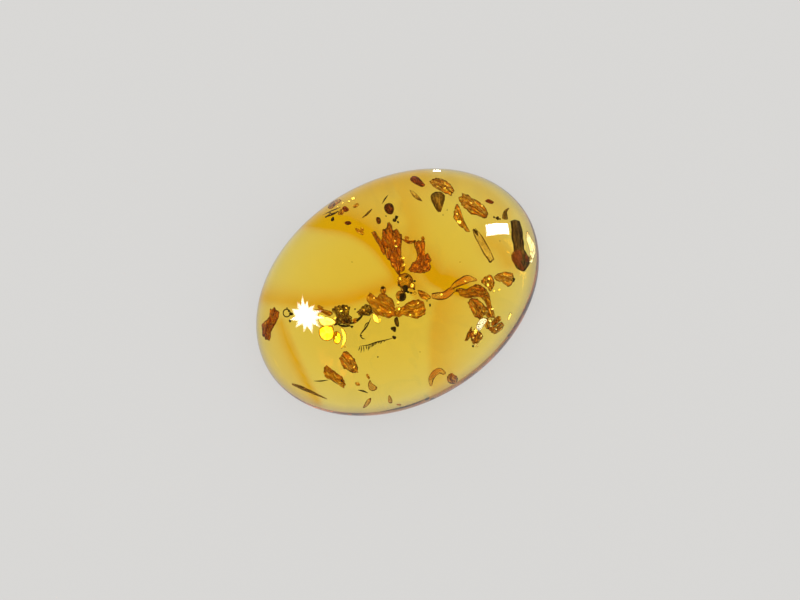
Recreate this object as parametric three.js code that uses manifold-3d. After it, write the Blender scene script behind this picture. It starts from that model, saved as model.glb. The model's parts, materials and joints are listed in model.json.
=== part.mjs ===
// A polished oval amber stone: a clear cabochon with a flat back, and the plant scraps sealed in it.
// Millimetres, +Z up. The flat back lies on z = 0, +X runs along the stone's long axis, and the origin is
// the middle of the back. Two flows of resin met along a seam that crosses the stone, and the scraps stuck
// there, so the clear body is parted in two along that seam, with a pocket round every scrap.
import * as THREE from "three";
import { mergeVertices } from "three/addons/utils/BufferGeometryUtils.js";
import Module from "manifold-3d";

const wasm = await Module();
wasm.setup();

// Stone
const LENGTH = 20;
const WIDTH = 14.9;
const HEIGHT = 7;
const GIRDLE_HEIGHT = 1.1; // the widest place, above the flat back
const BACK_SHARE = 0.93; // the flat back's share of the outline
const DOME_FULLNESS = 2.3; // 2 makes a half ellipsoid, and more fills out the shoulder
const STONE_SIDES = 44;
const DOME_STEPS = 9;
const EDGE_STEPS = 3;

// Seam between the two flows: a low mound with a swell across it
const SEAM_RIM_HEIGHT = 1.5;
const SEAM_RISE = 2;
const SWELL_HEIGHT = 0.35;
const SWELL_ALONG = 0.55; // radians for each millimetre of X
const SWELL_ACROSS = 0.5; // radians for each millimetre of Y
const SWELL_START = new THREE.Vector2(0.4, -0.6);
const SEAM_CELLS = new THREE.Vector2(10, 8);
const SEAM_GAP = 0.06;
const POCKET_GAP = 0.08;

// Facets of the scraps
const GRAIN_SIDES = 6;
const GRAIN_RINGS = 4;
const FLAKE_POINTS = 8;
const FLAKE_RIM = 0.3; // share of a flake's thickness in each bevelled rim
const FLAKE_BEVEL = 0.2; // share of a flake's half width that the rim slopes over
const BEAD_SIDES = 6;
const BEAD_RINGS = 4;
const RING_SECTION = 4;
const RING_STEPS = 9;

// A twig's outline from its broken end to its tip: the share of its length, then of the stick's radius and of
// the bud's radius
const TWIG_OUTLINE = [
  [-0.5, 0, 0],
  [-0.47, 0.8, 0],
  [-0.2, 1, 0],
  [0.08, 0.85, 0],
  [0.25, 0, 1],
  [0.4, 0, 0.75],
  [0.5, 0, 0],
];

const TURN = Math.PI / 180;
const MERGE_WITHIN = 1e-4; // corners closer than this are one corner
const SLOPE_STEP = 0.01; // reach of the slope measured at a point of the seam

// Finishes, as colours seen through the amber
const finish = (color, roughness, opacity = 1) =>
  new THREE.MeshStandardMaterial({ color, roughness, metalness: 0, opacity, transparent: opacity < 1 });
const AMBER = finish(0xdcb93c, 0.05, 0.45);
const DARK_BARK = finish(0x3a2a16, 0.8);
const SEED = finish(0x6e2a10, 0.5);
const HUSK = finish(0xb56a14, 0.55);
const LEAF = finish(0xc8820f, 0.5);
const STRAW = finish(0x9a7420, 0.45);
const DROPLET = finish(0x8a5a18, 0.2);

// Height of the seam above the back.
function seamHeight(x, y) {
  const inward = 1 - (2 * x / LENGTH) ** 2 - (2 * y / WIDTH) ** 2;
  const swell = Math.sin(SWELL_ALONG * x + SWELL_START.x) * Math.cos(SWELL_ACROSS * y + SWELL_START.y);
  return SEAM_RIM_HEIGHT + SEAM_RISE * inward + SWELL_HEIGHT * swell;
}

// A closed geometry as a solid that can be cut and joined.
function solidOf(geometry) {
  const bare = new THREE.BufferGeometry();
  bare.setAttribute("position", geometry.getAttribute("position").clone());
  bare.setIndex(geometry.index);
  const merged = mergeVertices(bare, MERGE_WITHIN);
  const vertProperties = new Float32Array(merged.attributes.position.array);
  const triVerts = new Uint32Array(merged.index.array);
  return new wasm.Manifold(new wasm.Mesh({ numProp: 3, vertProperties, triVerts }));
}

function geometryOf(solid) {
  const mesh = solid.getMesh();
  const geometry = new THREE.BufferGeometry();
  geometry.setAttribute("position", new THREE.BufferAttribute(mesh.vertProperties, 3));
  geometry.setIndex(new THREE.BufferAttribute(mesh.triVerts, 1));
  return geometry;
}

// Moves every vertex of a geometry to where move says.
function reshaped(geometry, move) {
  const position = geometry.getAttribute("position");
  const point = new THREE.Vector3();
  for (let i = 0; i < position.count; i += 1) {
    point.fromBufferAttribute(position, i);
    move(point, i);
    position.setXYZ(i, point.x, point.y, point.z);
  }
  return geometry;
}

// The whole stone: a profile from the back's middle round the edge and over the dome, turned about Z
// and stretched along X.
function stone() {
  const radius = WIDTH / 2;
  const edge = radius * (1 - BACK_SHARE);
  const profile = [new THREE.Vector2(0, 0)];
  for (let i = 0; i < EDGE_STEPS; i += 1) {
    const angle = (i / EDGE_STEPS) * (Math.PI / 2);
    const height = GIRDLE_HEIGHT * (1 - Math.cos(angle));
    profile.push(new THREE.Vector2(radius - edge * (1 - Math.sin(angle)), height));
  }
  for (let i = 0; i <= DOME_STEPS; i += 1) {
    const angle = (i / DOME_STEPS) * (Math.PI / 2);
    const share = i === DOME_STEPS ? 0 : Math.cos(angle) ** (2 / DOME_FULLNESS);
    const height = GIRDLE_HEIGHT + (HEIGHT - GIRDLE_HEIGHT) * Math.sin(angle);
    profile.push(new THREE.Vector2(radius * share, height));
  }
  const turned = new THREE.LatheGeometry(profile, STONE_SIDES);
  return solidOf(turned.rotateX(Math.PI / 2).scale(LENGTH / WIDTH, 1, 1));
}

// Everything below the seam, moved up by lift: a block whose top follows the seam.
function belowSeam(lift) {
  const margin = 1;
  const floor = -1;
  const block = new THREE.BoxGeometry(
    LENGTH + margin, WIDTH + margin, 1, SEAM_CELLS.x, SEAM_CELLS.y, 1,
  );
  return solidOf(reshaped(block, (point) => {
    point.z = point.z > 0 ? seamHeight(point.x, point.y) + lift : floor;
  }));
}

// Bends a shape that lies along X: its ends move sideways along Y and up along Z.
function bent(geometry, { length, sideways = 0, upwards = 0 }) {
  return reshaped(geometry, (point) => {
    const share = (2 * point.x / length) ** 2;
    point.y += sideways * (share - 0.5);
    point.z += upwards * (share - 0.5);
  });
}

// Each make below gives a scrap along X, or its pocket, which leaves room all round the scrap.

// A seed, drop or splinter: a spindle. A blunt below 1 rounds its ends, above 1 draws them out, and a skew
// above 1 moves its thickest place towards +X.
function grain({ length, width, thick, blunt = 0.7, skew = 1 }, room) {
  const profile = [];
  for (let i = 0; i <= GRAIN_RINGS; i += 1) {
    const share = i / GRAIN_RINGS;
    const tip = i === 0 || i === GRAIN_RINGS;
    const radius = tip ? 0 : 0.5 * Math.sin(Math.PI * share ** skew) ** blunt;
    profile.push(new THREE.Vector2(radius, (share - 0.5) * (length + 2 * room)));
  }
  const spindle = new THREE.LatheGeometry(profile, GRAIN_SIDES).rotateZ(-Math.PI / 2);
  return spindle.scale(1, width + 2 * room, thick + 2 * room);
}

// A husk, leaf or bark scrap: a ragged oval plate with a bevelled rim. Its pocket has straight walls.
function flake({ length, width, thick, lobes = 3, ragged = 0.1, phase = 0 }, room) {
  const outline = [];
  for (let i = 0; i < FLAKE_POINTS; i += 1) {
    const angle = (i / FLAKE_POINTS) * 2 * Math.PI;
    const reach = 1 + ragged * Math.sin(lobes * angle + phase);
    const x = (0.5 * length * reach + room) * Math.cos(angle);
    const y = (0.5 * width * reach + room) * Math.sin(angle);
    outline.push(new THREE.Vector2(x, y));
  }
  const rim = room > 0 ? 0 : thick * FLAKE_RIM;
  const depth = thick + 2 * room - 2 * rim;
  const bevelSize = FLAKE_BEVEL * 0.5 * width;
  const plate = new THREE.ExtrudeGeometry(new THREE.Shape(outline), {
    depth,
    bevelEnabled: rim > 0,
    bevelSegments: 1,
    bevelThickness: rim,
    bevelSize,
    bevelOffset: -bevelSize,
  });
  return plate.translate(0, 0, -depth / 2);
}

// A bark twig: a stick that swells into a bud near its +X end.
function twig({ length, width, thick, bud }, room) {
  const stick = 0.5 * width + room;
  const swollen = 0.5 * bud + room;
  const reach = length + 2 * room;
  const profile = TWIG_OUTLINE.map(([along, ofStick, ofBud]) =>
    new THREE.Vector2(ofStick * stick + ofBud * swollen, along * reach));
  const turned = new THREE.LatheGeometry(profile, GRAIN_SIDES + 2).rotateZ(-Math.PI / 2);
  return turned.scale(1, 1, (thick + 2 * room) / (width + 2 * room));
}

// A loop of hair, lying flat.
function ring({ length, width, thick }, room) {
  const strand = 0.5 * thick + room;
  const loop = new THREE.TorusGeometry(0.5 * (length - thick), strand, RING_SECTION, RING_STEPS);
  return loop.scale(1, width / length, 1);
}

// Resin beads grown together: balls placed by shares of the cluster's length and width.
function beads({ length, width, places }, room) {
  const cluster = places
    .map(([x, y, size]) => {
      const ball = new THREE.SphereGeometry(0.5 * size * width + room, BEAD_SIDES, BEAD_RINGS);
      return solidOf(ball.translate(x * length, y * width, 0));
    })
    .reduce((whole, ball) => whole.add(ball));
  return geometryOf(cluster);
}

// Scraps by name: where each lies on the seam, how it is turned, its make, finish and sizes.
// heading turns it about the seam's normal, pitch dips its +X end, and roll turns it along its length.
const SCRAPS = {
  bark_twig: {
    at: [7.8, -1.6], heading: -107, pitch: 6, lift: 0.1, make: twig, of: DARK_BARK,
    size: { length: 3.1, width: 0.72, thick: 0.6, bud: 1.08 },
  },
  bark_chip: {
    at: [-7.45, 1.95], heading: -147, pitch: -8, roll: 12, make: flake, of: SEED,
    size: { length: 2.1, width: 0.9, thick: 0.5, lobes: 3, ragged: 0.14, sideways: 0.2 },
  },
  bark_scrap_left: {
    at: [1.15, 1.75], heading: -96, pitch: 7, make: flake, of: HUSK,
    size: { length: 3.1, width: 1.4, thick: 0.6, lobes: 5, ragged: 0.1, phase: 1, upwards: 0.2 },
  },
  bark_scrap_right: {
    at: [2.65, 0.55], heading: -113, roll: -14, make: flake, of: HUSK,
    size: { length: 1.8, width: 1.05, thick: 0.5, lobes: 4, ragged: 0.12, phase: 2, upwards: 0.15 },
  },
  bark_strip: {
    at: [2.45, 1.85], heading: -34, pitch: 10, make: grain, of: HUSK,
    size: { length: 0.85, width: 0.24, thick: 0.2, blunt: 0.4 },
  },
  leaf_scrap_left: {
    at: [-1.15, -0.7], heading: -50, roll: 10, make: flake, of: LEAF,
    size: { length: 1.8, width: 1.3, thick: 0.3, lobes: 3, ragged: 0.14, phase: 0.5, upwards: 0.15 },
  },
  leaf_scrap_right: {
    at: [0.5, -1.65], heading: -10, roll: -12, make: flake, of: LEAF,
    size: { length: 1.6, width: 0.95, thick: 0.3, lobes: 3, ragged: 0.12, phase: 2.4, upwards: 0.1 },
  },
  leaf_wing: {
    at: [-5.85, -2.5], heading: -82, roll: 20, make: flake, of: SEED,
    size: { length: 1.8, width: 0.6, thick: 0.3, lobes: 2, ragged: 0.12, phase: 1.2, sideways: 0.15 },
  },
  resin_beads: {
    at: [0.85, -0.35], heading: -129, lift: 0.2, make: beads, of: DROPLET,
    size: {
      length: 1.35, width: 1.2,
      places: [[-0.22, 0.18, 0.55], [0.02, -0.2, 0.62], [0.28, 0.12, 0.5], [-0.3, -0.25, 0.4]],
    },
  },
  husk_large: {
    at: [6.6, 1.65], heading: -68, roll: -8, make: flake, of: HUSK,
    size: { length: 2, width: 0.92, thick: 0.35, lobes: 2, ragged: 0.06, upwards: -0.15 },
  },
  husk_top: {
    at: [5.65, 3.55], heading: -61, pitch: 8, make: flake, of: HUSK,
    size: { length: 1.6, width: 0.7, thick: 0.32, lobes: 3, ragged: 0.08, phase: 1.5 },
  },
  husk_scale: {
    at: [5.65, 1.35], heading: -96, roll: 18, make: flake, of: HUSK,
    size: { length: 1.7, width: 0.5, thick: 0.26, lobes: 2, ragged: 0.08, sideways: -0.2 },
  },
  husk_core: {
    at: [4.05, -2.55], heading: -19, roll: 15, lift: -0.1, make: flake, of: HUSK,
    size: { length: 1.5, width: 0.52, thick: 0.32, lobes: 3, ragged: 0.1, upwards: 0.1 },
  },
  husk_plate: {
    at: [3.65, -3.6], heading: -87, pitch: 8, make: flake, of: HUSK,
    size: { length: 1.45, width: 0.98, thick: 0.34, lobes: 2, ragged: 0.06, phase: 0.8 },
  },
  husk_side: {
    at: [4.75, -3.6], heading: -105, roll: -25, make: flake, of: HUSK,
    size: { length: 1.2, width: 0.46, thick: 0.3, lobes: 3, ragged: 0.1, phase: 2 },
  },
  husk_bead: {
    at: [6.05, -2.9], heading: -44, make: grain, of: HUSK,
    size: { length: 1.15, width: 0.86, thick: 0.6, blunt: 0.55, skew: 0.8 },
  },
  husk_crumb: {
    at: [5.2, -2.5], heading: -130, roll: 20, make: flake, of: LEAF,
    size: { length: 0.85, width: 0.46, thick: 0.34, lobes: 3, ragged: 0.14 },
  },
  husk_low: {
    at: [4.35, -5.1], heading: -12, roll: 15, make: flake, of: HUSK,
    size: { length: 1.1, width: 0.5, thick: 0.34, lobes: 4, ragged: 0.12 },
  },
  husk_curl: {
    at: [4.55, -4.5], heading: 15, make: grain, of: SEED,
    size: { length: 0.52, width: 0.24, thick: 0.24, blunt: 0.5, sideways: 0.12 },
  },
  husk_striped: {
    at: [2.8, -4.75], heading: -6, pitch: -8, make: flake, of: HUSK,
    size: { length: 1.2, width: 0.9, thick: 0.4, lobes: 5, ragged: 0.1, phase: 0.6 },
  },
  husk_bottom: {
    at: [-4.6, -2.35], heading: -94, roll: 12, make: flake, of: HUSK,
    size: { length: 1.3, width: 0.82, thick: 0.34, lobes: 2, ragged: 0.08, phase: 1 },
  },
  husk_arch: {
    at: [-0.75, -5.85], heading: 20, make: grain, of: STRAW,
    size: { length: 1.35, width: 0.3, thick: 0.26, blunt: 0.5, sideways: -0.5 },
  },
  chain_flake: {
    at: [-4.3, 0.8], heading: -39, roll: 20, make: flake, of: HUSK,
    size: { length: 0.9, width: 0.36, thick: 0.26, lobes: 3, ragged: 0.12 },
  },
  knot_left: {
    at: [-3.45, 0.1], heading: -38, make: flake, of: DARK_BARK,
    size: { length: 1.1, width: 0.8, thick: 0.4, lobes: 4, ragged: 0.16, phase: 1.4 },
  },
  knot_middle: {
    at: [-2.25, -0.35], heading: -59, make: flake, of: DARK_BARK,
    size: { length: 0.75, width: 0.5, thick: 0.36, lobes: 3, ragged: 0.15 },
  },
  twig_link_near: {
    at: [2.45, -1.85], heading: -14, make: grain, of: STRAW,
    size: { length: 1.3, width: 0.46, thick: 0.34, blunt: 0.3, sideways: 0.1 },
  },
  twig_link_far: {
    at: [3.9, -1.85], heading: -2, lift: 0.15, make: grain, of: STRAW,
    size: { length: 1.5, width: 0.46, thick: 0.34, blunt: 0.4, sideways: -0.25 },
  },
  straw: {
    at: [5.95, -0.6], heading: -92, pitch: 5, make: grain, of: STRAW,
    size: { length: 2.2, width: 0.46, thick: 0.26, blunt: 0.35 },
  },
  sliver_olive: {
    at: [4.05, 3.85], heading: -69, make: grain, of: STRAW,
    size: { length: 1, width: 0.24, thick: 0.16, blunt: 1 },
  },
  splinter_top: {
    at: [1.05, 4.4], heading: -168, pitch: 8, make: grain, of: STRAW,
    size: { length: 0.7, width: 0.16, thick: 0.16, blunt: 0.5 },
  },
  splinter_left: {
    at: [-1.1, 5.6], heading: -11, make: grain, of: DARK_BARK,
    size: { length: 0.95, width: 0.16, thick: 0.16, blunt: 0.6 },
  },
  stick_edge: {
    at: [-7.75, -2.45], heading: -51, make: grain, of: DARK_BARK,
    size: { length: 2.2, width: 0.24, thick: 0.22, blunt: 0.9, skew: 0.7, sideways: 0.1 },
  },
  thorn_hook: {
    at: [8.15, 0.5], heading: -144, make: grain, of: SEED,
    size: { length: 0.8, width: 0.3, thick: 0.26, blunt: 0.8, skew: 1.5, sideways: 0.15 },
  },
  hair_ring: {
    at: [-6.3, 1.95], heading: -31, make: ring, of: DARK_BARK,
    size: { length: 0.56, width: 0.5, thick: 0.1 },
  },
  seed_round_dark: {
    at: [2.25, 4], heading: -119, make: grain, of: SEED,
    size: { length: 0.7, width: 0.54, thick: 0.48, blunt: 0.55, skew: 0.8 },
  },
  seed_small_dark: {
    at: [1.35, 3.75], heading: -118, make: grain, of: SEED,
    size: { length: 0.5, width: 0.32, thick: 0.3, blunt: 0.6 },
  },
  seed_wedge: {
    at: [4.95, 2.85], heading: -109, pitch: 10, make: grain, of: DARK_BARK,
    size: { length: 1.25, width: 0.8, thick: 0.44, blunt: 0.5, skew: 0.65 },
  },
  seed_red_top: {
    at: [4.55, 4.6], heading: -62, make: grain, of: SEED,
    size: { length: 1, width: 0.6, thick: 0.4, blunt: 0.6 },
  },
  seed_red_right: {
    at: [7.55, 1.45], heading: -46, make: grain, of: SEED,
    size: { length: 0.6, width: 0.36, thick: 0.3, blunt: 0.6 },
  },
  seed_round_brown: {
    at: [0.15, -6.25], heading: -70, make: grain, of: SEED,
    size: { length: 0.74, width: 0.62, thick: 0.5, blunt: 0.55 },
  },
  seed_oval_orange: {
    at: [-0.15, 5.3], heading: -50, make: grain, of: HUSK,
    size: { length: 0.5, width: 0.32, thick: 0.28, blunt: 0.6 },
  },
  seed_oval_dark: {
    at: [-0.3, 4.55], heading: -37, make: grain, of: SEED,
    size: { length: 0.46, width: 0.24, thick: 0.22, blunt: 0.6 },
  },
  seed_wedge_small: {
    at: [-0.9, -2], heading: -130, make: grain, of: DARK_BARK,
    size: { length: 0.6, width: 0.3, thick: 0.24, blunt: 0.6, skew: 0.7 },
  },
  drop_upper: {
    at: [-4.25, -4.2], heading: -102, make: grain, of: DROPLET,
    size: { length: 0.68, width: 0.44, thick: 0.34, blunt: 0.7, skew: 1.5 },
  },
  drop_left: {
    at: [-5.15, -4.95], heading: -156, make: grain, of: DROPLET,
    size: { length: 0.74, width: 0.32, thick: 0.28, blunt: 0.8 },
  },
  drop_right: {
    at: [-3.8, -5.5], heading: -119, make: grain, of: DROPLET,
    size: { length: 0.52, width: 0.3, thick: 0.26, blunt: 0.7, skew: 1.4 },
  },
};

// A group that stands on the seam at x, y, with Z along the seam's normal and X along the heading.
function seat(x, y, heading, lift) {
  const slopeX = (seamHeight(x + SLOPE_STEP, y) - seamHeight(x - SLOPE_STEP, y)) / (2 * SLOPE_STEP);
  const slopeY = (seamHeight(x, y + SLOPE_STEP) - seamHeight(x, y - SLOPE_STEP)) / (2 * SLOPE_STEP);
  const normal = new THREE.Vector3(-slopeX, -slopeY, 1).normalize();
  const along = new THREE.Vector3(Math.cos(heading * TURN), Math.sin(heading * TURN), 0);
  along.addScaledVector(normal, -along.dot(normal)).normalize();
  const across = new THREE.Vector3().crossVectors(normal, along);
  const group = new THREE.Group();
  group.position.set(x, y, seamHeight(x, y) + lift);
  group.quaternion.setFromRotationMatrix(new THREE.Matrix4().makeBasis(along, across, normal));
  return group;
}

const cabochon = new THREE.Group();
const whole = stone();
let upperHalf = whole.subtract(belowSeam(SEAM_GAP / 2));
let lowerHalf = whole.intersect(belowSeam(-SEAM_GAP / 2));

for (const [name, scrap] of Object.entries(SCRAPS)) {
  const { at, heading, pitch = 0, roll = 0, lift = 0, make, of, size } = scrap;
  const place = seat(at[0], at[1], heading, lift);
  const mesh = new THREE.Mesh(bent(make(size, 0), size), of);
  mesh.name = name;
  mesh.rotation.set(roll * TURN, pitch * TURN, 0);
  place.add(mesh);
  cabochon.add(place);
  place.updateMatrixWorld(true);
  const pocket = solidOf(bent(make(size, POCKET_GAP), size).applyMatrix4(mesh.matrixWorld));
  upperHalf = upperHalf.subtract(pocket);
  lowerHalf = lowerHalf.subtract(pocket);
}

// The cut leaves crumbs of amber between close pockets: a half is its largest body.
function halfMesh(name, solid) {
  const bodies = solid.decompose().sort((a, b) => b.volume() - a.volume());
  const mesh = new THREE.Mesh(geometryOf(bodies[0]), AMBER);
  mesh.name = name;
  return mesh;
}

cabochon.add(halfMesh("amber_upper_half", upperHalf));
cabochon.add(halfMesh("amber_lower_half", lowerHalf));

export default cabochon;
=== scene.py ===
"""Amber stone: a polished oval of clear yellow amber, the plant scraps sealed in it, and a pale studio.

Every object is in metres, in the frame of the solids: +Z up, the flat back on z = 0, +X along the stone.
The scraps are traced in the photograph's pixels. A line of sight bends where it enters the dome, so a traced
outline is carried along the bent line to the plane that its solid lies in.
"""

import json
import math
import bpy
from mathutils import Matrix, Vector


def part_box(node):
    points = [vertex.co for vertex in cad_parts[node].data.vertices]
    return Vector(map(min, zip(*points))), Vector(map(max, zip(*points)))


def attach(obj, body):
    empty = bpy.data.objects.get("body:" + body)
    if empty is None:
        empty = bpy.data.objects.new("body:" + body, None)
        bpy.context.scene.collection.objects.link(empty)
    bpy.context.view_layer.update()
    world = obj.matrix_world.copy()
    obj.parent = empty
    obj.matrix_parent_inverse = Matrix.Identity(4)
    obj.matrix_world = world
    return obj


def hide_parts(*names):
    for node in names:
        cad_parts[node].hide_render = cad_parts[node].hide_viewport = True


bl_info = {
    "name": "Amber stone",
    "version": (1, 0, 0),
    "blender": (4, 5, 0),
    "location": "View3D > Sidebar > Amber stone",
    "description": "Builds a polished amber stone with plant scraps sealed in it",
    "category": "Object",
}

from dataclasses import dataclass

import bpy
import numpy as np
from mathutils import Matrix

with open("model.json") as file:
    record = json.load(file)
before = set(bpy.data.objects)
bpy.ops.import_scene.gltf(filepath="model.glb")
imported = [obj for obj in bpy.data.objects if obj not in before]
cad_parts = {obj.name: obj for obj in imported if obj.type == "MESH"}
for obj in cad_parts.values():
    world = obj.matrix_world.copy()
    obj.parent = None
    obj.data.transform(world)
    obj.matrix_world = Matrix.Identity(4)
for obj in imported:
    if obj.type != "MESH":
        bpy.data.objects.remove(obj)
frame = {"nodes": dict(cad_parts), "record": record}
HALVES = ("amber_upper_half", "amber_lower_half")
CORNERS = np.array([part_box(half) for half in HALVES])
LOW, HIGH = CORNERS[:, 0].min(0), CORNERS[:, 1].max(0)

BODY = "root"
MM = 0.001

# The photograph's view of the stone
PHOTO_SIZE = np.array([800.0, 600.0])
PIXELS_PER_METRE = 15097.0
OUTLINE_CENTRE = np.array([397.45, 292.2])
VIEW_AZIMUTH = math.radians(12.5)
VIEW_ELEVATION = math.radians(81.0)
VIEW_ROLL = math.radians(30.7)
VIEW_DISTANCE = 0.25

# Fineness of the surfaces
BODY_SIDES = 240
BACK_RINGS = 44
EDGE_RINGS = 12
DOME_RINGS = 72
SCRAP_SIDES = 72
SCRAP_RINGS = 14
STICK_SIDES = 28
STICK_RINGS = 56
HAIR_SIDES = 8
HAIR_RINGS = 20
BALL_SIDES = 24
BALL_RINGS = 13
FLOW_STEPS = 60
RIB_WAVES = 9
HALVINGS = 44
BENDS = 12
CLEARANCE = 0.015  # how far inside the stone's surface every scrap stays, as a share

# Flow bands of deeper colour, the last but one of them painted shade beside the twig: path in the
# photograph's pixels, the reach to the left and to the right of the path in millimetres, and the strength
FLOW_BANDS = [
    ([(402, 282), (392, 268), (374, 246), (350, 231), (320, 225), (290, 231)], 0.35, 1.5, 0.9),
    ([(258, 299), (300, 304), (340, 303), (372, 294), (398, 282)], 0.7, 0.3, 0.75),
    ([(462, 293), (448, 288), (434, 281), (424, 268)], 0.25, 1.0, 1.0),
    ([(430, 404), (433, 370), (433, 335), (438, 305)], 0.25, 1.5, 0.55),
    ([(318, 400), (306, 380), (297, 361), (288, 340), (281, 322)], 0.35, 0.2, 0.75),
    ([(314, 402), (302, 382), (293, 362), (284, 340), (277, 322)], 1.4, 0.4, 0.3),
    ([(300, 216), (330, 196), (372, 181), (420, 172)], 0.5, 1.2, 0.7),
    ([(404, 206), (411, 222), (410, 240)], 0.9, 0.4, 0.45),
    # painted shade: a deeper tint beside the twig, drawn like a flow band
    ([(490, 244), (500, 250), (508, 262)], 0.8, 0.6, 0.6),
    ([(452, 180), (478, 186), (504, 212)], 0.5, 0.7, 0.4),
]

# Highlights on the dome, each the mirror image of a lit card: outline in the photograph's pixels, and the
# part of the card over which its edge fades
HIGHLIGHTS = {
    "window": ([(485, 224.5), (508, 223.5), (509.5, 234.5), (486, 236.5)], 0.12),
    "star": (
        [
            (288, 320), (294, 316.5), (291, 308), (297.5, 308.5), (297, 301), (301, 304), (302.5, 293),
            (305, 303.5), (308, 299), (309, 307), (315, 304), (314, 310), (323, 310), (318, 315),
            (326, 318), (318, 320), (321, 328), (314, 325), (313, 335), (308, 327), (304, 333), (303, 325),
            (295, 328), (297, 321.5),
        ],
        0.4,
    ),
    "glint": ([(433, 170), (441, 170), (441, 171.4), (433, 171.4)], 0.5),
}

# Sun spangles, thin cracks that mirror a card: outline in pixels, height above the back in millimetres, card,
# and tone from white to yellow
SPANGLES = {
    "rim_strip": (
        [(527, 231), (530, 236), (534, 243), (535.5, 251), (533, 259), (530, 255), (529, 248), (526, 238)],
        2.3, "window", 0.45,
    ),
    "rim_foot": ([(530, 256), (533, 259), (532, 263), (529, 262)], 2.0, "window", 0.1),
    "white_chip": (
        [(476, 327), (480, 319), (486, 318), (487, 321), (483, 327), (479, 331)],
        4.2, "window", 0.0,
    ),
    "chip_foot": ([(473, 331), (477, 327), (478, 331), (475, 335)], 3.4, "window", 0.7),
    "disc_near": (
        [(319, 330), (323, 326), (332, 326), (334, 333), (332, 339), (326, 341), (320, 337)],
        3.4, "star", 0.9,
    ),
    "disc_far": (
        [(333, 334), (337, 331), (341, 335), (341, 340), (338, 344), (334, 342)],
        3.3, "star", 0.9,
    ),
    "crescent": (
        [(341, 327), (345, 331), (346.5, 337), (345, 344), (341, 349), (343.5, 343), (344, 336)],
        3.5, "star", 0.6,
    ),
    "star_tail": (
        [(318, 314), (325, 316), (333, 319), (336, 323), (330, 326), (321, 325)],
        4.0, "star", 0.35,
    ),
    "gold_point": ([(373, 313), (378, 317), (379, 323), (374, 321)], 4.2, "star", 0.5),
    "gold_tip": ([(379, 319), (381, 318), (380, 323)], 4.2, "star", 0.8),
    "edge_streak": ([(510, 313), (511.5, 314), (509, 320), (507.5, 319)], 2.2, "window", 0.6),
}

# Sparks, small spangles: place in pixels, half width in pixels, height above the back in millimetres, and
# card
SPARKS = [
    ((403, 258), 1.7, 4.5, "window"), ((400, 279), 1.7, 4.6, "window"), ((412, 285.5), 2.3, 4.6, "window"),
    ((399, 309), 1.5, 4.4, "star"), ((398, 302.5), 1.3, 4.4, "star"), ((404, 265), 1.2, 4.5, "window"),
    ((459, 222), 2.2, 3.7, "window"), ((457, 214), 1.0, 3.7, "window"), ((482, 206), 0.9, 3.2, "window"),
    ((471, 203), 0.9, 3.4, "window"), ((476.5, 345), 1.8, 3.4, "window"), ((492, 309), 1.4, 3.6, "window"),
    ((490, 320.5), 1.9, 3.5, "window"), ((488, 285), 1.6, 3.5, "window"), ((489, 279), 1.3, 3.4, "window"),
    ((494, 291), 1.2, 3.3, "window"), ((481, 336), 1.2, 3.4, "window"), ((473, 338), 1.0, 3.4, "window"),
    ((496, 329), 1.2, 3.2, "window"), ((410, 315), 1.1, 4.4, "star"), ((418, 303), 1.0, 4.4, "star"),
    ((374, 298), 0.9, 4.3, "star"), ((390, 312), 1.0, 4.4, "star"), ((341, 311), 1.2, 4.1, "star"),
    ((346, 308), 0.9, 4.1, "star"), ((335, 318), 1.2, 4.1, "star"), ((364, 310), 0.9, 4.2, "star"),
    ((343, 203), 1.1, 2.4, "star"), ((338, 207), 0.8, 2.4, "star"), ((353, 198.5), 1.9, 2.6, "star"),
    ((349, 201.5), 1.3, 2.6, "star"), ((499, 290), 1.2, 2.8, "window"), ((336, 337), 1.2, 3.8, "star"),
    ((441, 294.5), 1.5, 4.3, "window"), ((465, 281), 1.1, 4.0, "window"), ((396, 246), 1.3, 4.6, "window"),
    ((395, 241), 1.1, 4.6, "window"), ((354, 367), 0.9, 3.4, "star"), ((268, 322), 0.8, 2.2, "star"),
    ((445, 188), 0.9, 2.6, "window"),
]

SPARK_SIDES = 7
SPARK_TONE = 0.7

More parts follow.
